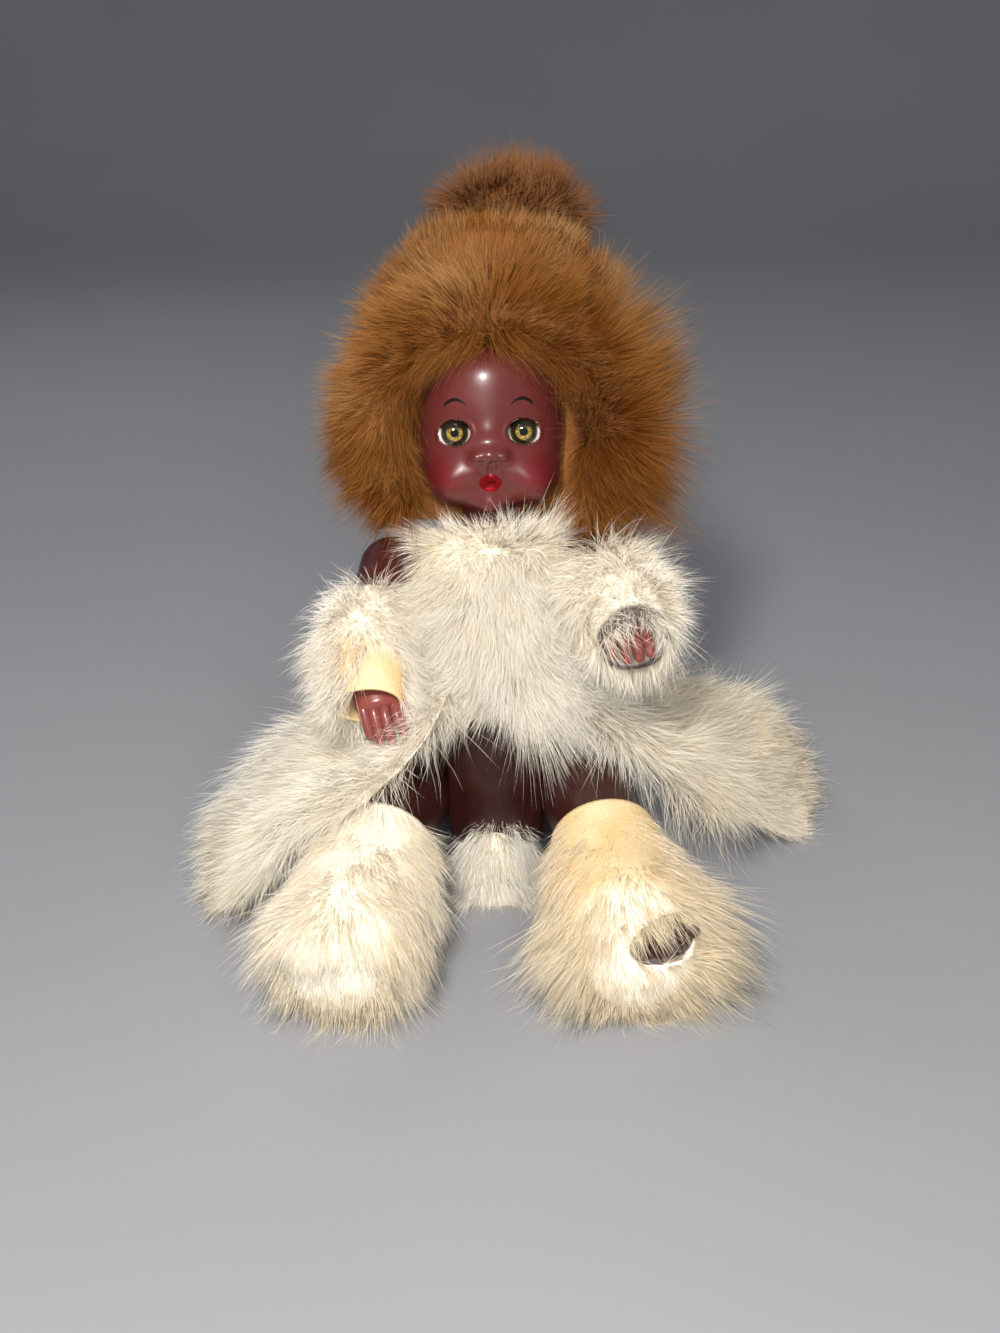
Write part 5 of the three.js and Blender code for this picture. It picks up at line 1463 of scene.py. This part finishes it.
def make_sleeve(context, side, word):
    """Sleeve: a thin tube over the arm, bare at the right cuff, and at the left one a dark grey-brown rim and
    painted shade inside.
    """
    reach, r, bend = ARM_REACH, ARM_RADIUS, -HAND_IN[side] * ARM_REACH
    at, name = arm_place(side), f"{word}_sleeve"
    forward, end = CUFF_END[side]
    grid = tube([
        (0, 0, -0.34 * reach, 0.86 * r + 2.0, 0.86 * r + 2.0),
        (0.5, -0.02 * reach, -0.5 * reach, 0.8 * r + 4.0, 0.8 * r + 4.0),
        (1.2 + 0.15 * bend, -0.05 * reach, -0.7 * reach, 0.74 * r + 5.0, 0.74 * r + 5.0),
        (1.0 + 0.5 * bend, -0.06 * reach, -0.87 * reach, 0.62 * r + 5.5, 0.6 * r + 5.5),
        (0.6 + 0.8 * bend, forward * reach, end * reach, 0.62 * r + 4.4, 0.56 * r + 3.6),
    ], X, 40, 48)
    if side < 0:
        hide = bare_hide(context, f"{name}_hide", at, (2, -0.66 * reach, -0.9 * reach))
    else:
        # left cuff: dark grey-brown hide, a grey rim and painted shade inside the opening
        wear_and_shade = (2, -1.08 * reach, -1.13 * reach)
        hide = hide_finish(f"{name}_hide", (0.13, 0.10, 0.09), (0.07, 0.05, 0.045), CREAM_UNDER, at, wear_and_shade)
    wall = carry(at, walled(grid, "last", thickness=1.1, depth_rows=34))
    shell_piece(f"{name}_hide", [wall], hide, f"{word}_arm", (name,))
    cuff = carry(at, grid[-1].mean(axis=0))
    way = unit(cuff - carry(at, grid[-8].mean(axis=0)))
    ahead, down = CUFF_COMB[side]

    def grows(p, n):
        """1 behind the bare hide of the cuff."""
        bare = CUFF_BARE * ramp(n @ CUFF_LOOK, 0.66, 0.95) if side < 0 else 1.0
        return ramp((cuff - p) @ way, bare - 1.0, bare + 1.5)

    own = dict(
        CREAM_GROOM, comb=lambda p, n, along: way * ahead + down * DOWN, under=15.0, guard=20.0, droop=0.04,
        lift=(lambda p, n: 0.55 - 0.35 * ramp((cuff - p) @ way, 14.0, 3.0), 0.3), where=grows,
        hairs=(5500, 1500), seed=51 + side,
    )
    pelt = Pelt(carry(at, grid), True)
    fur(f"{name}_fur", pelt, f"{word}_arm", cream_finishes()[1], own)


class FURDOLL_OT_sleeves(bpy.types.Operator):
    """Fur sleeves with a bare hide cuff"""

    bl_idname = "fur_doll.sleeves"
    bl_label = "Sleeves"

    def execute(self, context):
        for side, word in SIDES.items():
            make_sleeve(context, side, word)
        return {"FINISHED"}


def toe_window(q):
    """Distance from the middle of the left boot's slit over the toes, 1 at its edge, in the leg's frame."""
    off = q - TOE_AT
    flat = np.hypot(off @ TOE_LONG / SLIT_HALF[0], off @ TOE_UP / SLIT_HALF[1])
    return flat + 9.0 * (off @ np.cross(TOE_LONG, TOE_UP) < -14.0)


def make_boot(context, side, word):
    """Boot: a thin tube with a closed toe.

    The left one has a bare rim, a rubbed front and a slit over the toes, painted dark inside as shade.
    """
    reach, r = LEG_REACH, THIGH_RADIUS
    at, name = leg_place(side), f"{word}_boot"
    grid = tube([
        (0, -0.52 * reach, 0.02 * reach, 0.82 * r + 3.6, 0.82 * r + 3.6),
        (0, -0.66 * reach, -0.02 * reach, 0.78 * r + 7.0, 0.76 * r + 5.8),
        (0, -0.84 * reach, -0.055 * reach, 0.72 * r + 9.6, 0.7 * r + 9.0),
        (0, -1.05 * reach, -0.06 * reach, 0.64 * r + 9.8, 0.7 * r + 9.0),
        (0, -1.18 * reach, -0.075 * reach, 0.52 * r + 8.0, 0.56 * r + 8.0),
    ], X, 56, 60, ends=(0, 8.0))
    grid[..., 2] = np.maximum(grid[..., 2], -HIP_HEIGHT + 1.0)
    if side > 0:
        grid = grid + TOE_DENT * ramp(toe_window(grid), 0.95, 0.8)[..., None]
        slit = TOE_AT, TOE_LONG / SLIT_HALF[0], TOE_UP / SLIT_HALF[1]
        hide = bare_hide(context, f"{name}_hide", at, (1, -1.2 * reach, -1.0 * reach), slit)
    else:
        grid = grid - 0.35 * TOE_DENT * ramp(toe_window(grid), 1.6, 0.6)[..., None]
        hide = cream_finishes()[0]
    wall = carry(at, walled(grid, "first", thickness=1.2, depth_rows=30))
    shell_piece(f"{name}_hide", [wall], hide, f"{word}_leg", (name,))
    rim = carry(at, grid[0].mean(axis=0))
    way = unit(carry(at, grid[10].mean(axis=0)) - rim)

    def grows(p, n):
        """1 below the rim and above the floor, less on the left boot's rubbed front, and 0 in its slit."""
        below = (p - rim) @ way
        floor = ramp(p[:, 2], 1.2, 3.0)
        if side < 0:
            return ramp(below, 0.0, 1.0) * floor
        local = in_part(at, p)
        rubbed = hump(local[:, 0], -2.0, 13.0) * ramp(below, 60.0, 38.0)
        open_toe = ramp(toe_window(local), 0.86, 0.92) * (1.0 - 0.75 * rubbed)
        return ramp(below, 1.0, 3.5) * open_toe * floor

    def outwards(p):
        """How far the hair turns out at the outer side, and in at the inner side, where it is below 0."""
        across = in_part(at, p)[:, 0]
        inner = 0.5 * ramp(across, -6.0, -22.0)
        if side > 0:
            return ramp(across, 4.0, 24.0) - inner
        return 0.4 * ramp(across, 8.0, 26.0) - 0.3 * inner

    def trim(p, n):
        """Short at the rim and on the toe, longer at the sides and near the floor."""
        start = BOOT_START[side]
        fringe = (1.0 + 0.3 * ramp(p[:, 2], 22.0, 6.0)) * (1.0 - 0.57 * ramp(n @ way, 0.3, 0.9))
        below = start + (1.0 - start) * ramp((p - rim) @ way, 4.0, 34.0)
        return below * fringe * (1.0 + 0.6 * np.abs(outwards(p)))

    def comb(p, n, along):
        """Along the boot and down, out at the sides, and up under the slit."""
        out = outwards(p)[:, None]
        ahead = (1.0 - 0.5 * np.abs(out)) * (1.0 - ramp(n @ way, 0.05, 0.6)[:, None])
        flow = way * ahead + 0.75 * DOWN + 0.9 * side * X * out
        flow = flow + 0.012 * side * X * (p[:, :1] * side - 42.0)
        local = in_part(at, p)
        under = ramp((local - TOE_AT) @ TOE_UP, 0.0, -3.0) * ramp(toe_window(local), 1.2, 1.0) * (side > 0)
        return flow + (1.1 * under[:, None]) * (at[:3, :3] @ TOE_UP)

    own = dict(
        CREAM_GROOM, comb=comb, under=15.0, guard=21.0, lift=(0.26, 0.06), droop=0.06, ruffle=0.32,
        tone=lambda p: cream_tone(p) - BOOT_DARKER[side], where=grows, trim=trim,
        hairs=(9000, 2700), seed=61 + side,
    )
    pelt = Pelt(carry(at, grid), True)
    fur(f"{name}_fur", pelt, f"{word}_leg", cream_finishes()[1], own)


class FURDOLL_OT_boots(bpy.types.Operator):
    """Fur boots with a bare hide rim"""

    bl_idname = "fur_doll.boots"
    bl_label = "Boots"

    def execute(self, context):
        for side, word in SIDES.items():
            make_boot(context, side, word)
        return {"FINISHED"}


# Stage

LOOK_AT, CAMERA_AT, CAMERA_ROLL = (0.0, -0.005, 0.095), (0.0289, -0.5565, 0.3294), -2.2
PHOTO_HEIGHT, PHOTO_SHIFT = 1333.0, (9.5, -39.0)  # picture points
LAMPS = (
    # name, place in metres, size, power, colour
    ("key_light", (-0.1, -0.72, 0.72), 0.13, 10.0, (1.0, 0.97, 0.93)),
    ("fill_light", (0.08, -0.85, 0.42), 0.4, 6.0, (1.0, 0.98, 0.96)),
    ("back_light", (-0.5, 0.7, 0.9), 0.6, 2.5, (1.0, 1.0, 1.0)),
)


class FURDOLL_OT_stage(bpy.types.Operator):
    """Pale floor, soft studio light and the camera"""

    bl_idname = "fur_doll.stage"
    bl_label = "Stage"

    def execute(self, context):
        scene = context.scene
        # the floor curves up into a wall far behind the doll
        run = -2500.0 + 5500.0 * np.linspace(0.0, 1.0, 60)[:, None]
        rise = 2400.0 * ramp(run, 1200.0, 3400.0) ** 1.5
        grid = joined(np.linspace(-9000.0, 9000.0, 9)[None], run, rise)
        floor = bpy.data.objects.new("studio_floor", open_sheet("studio_floor", grid, (0, 0, -5000.0)))
        floor.data.materials.append(floor_finish())
        scene.collection.objects.link(floor)
        target = Vector(LOOK_AT)
        for name, at, size, power, colour in LAMPS:
            data = bpy.data.lights.new(name, "AREA")
            data.shape, data.size, data.energy, data.color = "DISK", size, power, colour
            lamp = bpy.data.objects.new(name, data)
            lamp.location = at
            lamp.rotation_euler = (target - lamp.location).to_track_quat("-Z", "Y").to_euler()
            lamp.visible_glossy = name == "key_light"
            scene.collection.objects.link(lamp)
        world = bpy.data.worlds.new("studio_air")
        world.use_nodes = True
        air = world.node_tree.nodes["Background"].inputs
        air["Color"].default_value = (0.9, 0.93, 1.0, 1.0)
        air["Strength"].default_value = 0.24
        scene.world = world
        scene.view_settings.view_transform = "Standard"
        data = bpy.data.cameras.new("camera")
        data.sensor_fit, data.sensor_height, data.lens = "VERTICAL", 36.0, 45.0
        data.shift_x, data.shift_y = (shift / PHOTO_HEIGHT for shift in PHOTO_SHIFT)
        data.clip_start, data.clip_end = 0.01, 50.0
        camera = bpy.data.objects.new("camera", data)
        camera.location = CAMERA_AT
        level = (target - camera.location).to_track_quat("-Z", "Y")
        camera.rotation_euler = (level @ Quaternion(Z, math.radians(CAMERA_ROLL))).to_euler()
        scene.collection.objects.link(camera)
        scene.camera = camera
        return {"FINISHED"}


class FURDOLL_PT_panel(bpy.types.Panel):
    """The doll's settings and the operators that make its pieces"""

    bl_idname = "FURDOLL_PT_panel"
    bl_label = "Fur Doll"
    bl_space_type = "VIEW_3D"
    bl_region_type = "UI"
    bl_category = "Fur Doll"

    def draw(self, context):
        settings = context.scene.fur_doll
        for group in (settings, settings.colours):
            for key in group.__annotations__:
                if key != "colours":
                    self.layout.prop(group, key)
        for operator in OPERATORS:
            self.layout.operator(operator.bl_idname)


OPERATORS = (
    FURDOLL_OT_stage, FURDOLL_OT_head, FURDOLL_OT_eyes, FURDOLL_OT_body, FURDOLL_OT_limbs,
    FURDOLL_OT_stringing, FURDOLL_OT_hood, FURDOLL_OT_coat, FURDOLL_OT_sleeves, FURDOLL_OT_boots,
)
CLASSES = (FurDollColours, FurDollSettings, *OPERATORS, FURDOLL_PT_panel)


def register():
    """Makes the doll's settings, operators and panel known."""
    for kind in CLASSES:
        bpy.utils.register_class(kind)
    bpy.types.Scene.fur_doll = PointerProperty(type=FurDollSettings)


def unregister():
    """Takes them away again."""
    del bpy.types.Scene.fur_doll
    for kind in reversed(CLASSES):
        bpy.utils.unregister_class(kind)


def main():
    """Runs every operator."""
    register()
    for operator in OPERATORS:
        group, name = operator.bl_idname.split(".")
        getattr(getattr(bpy.ops, group), name)()


if __name__ == "__main__":
    main()
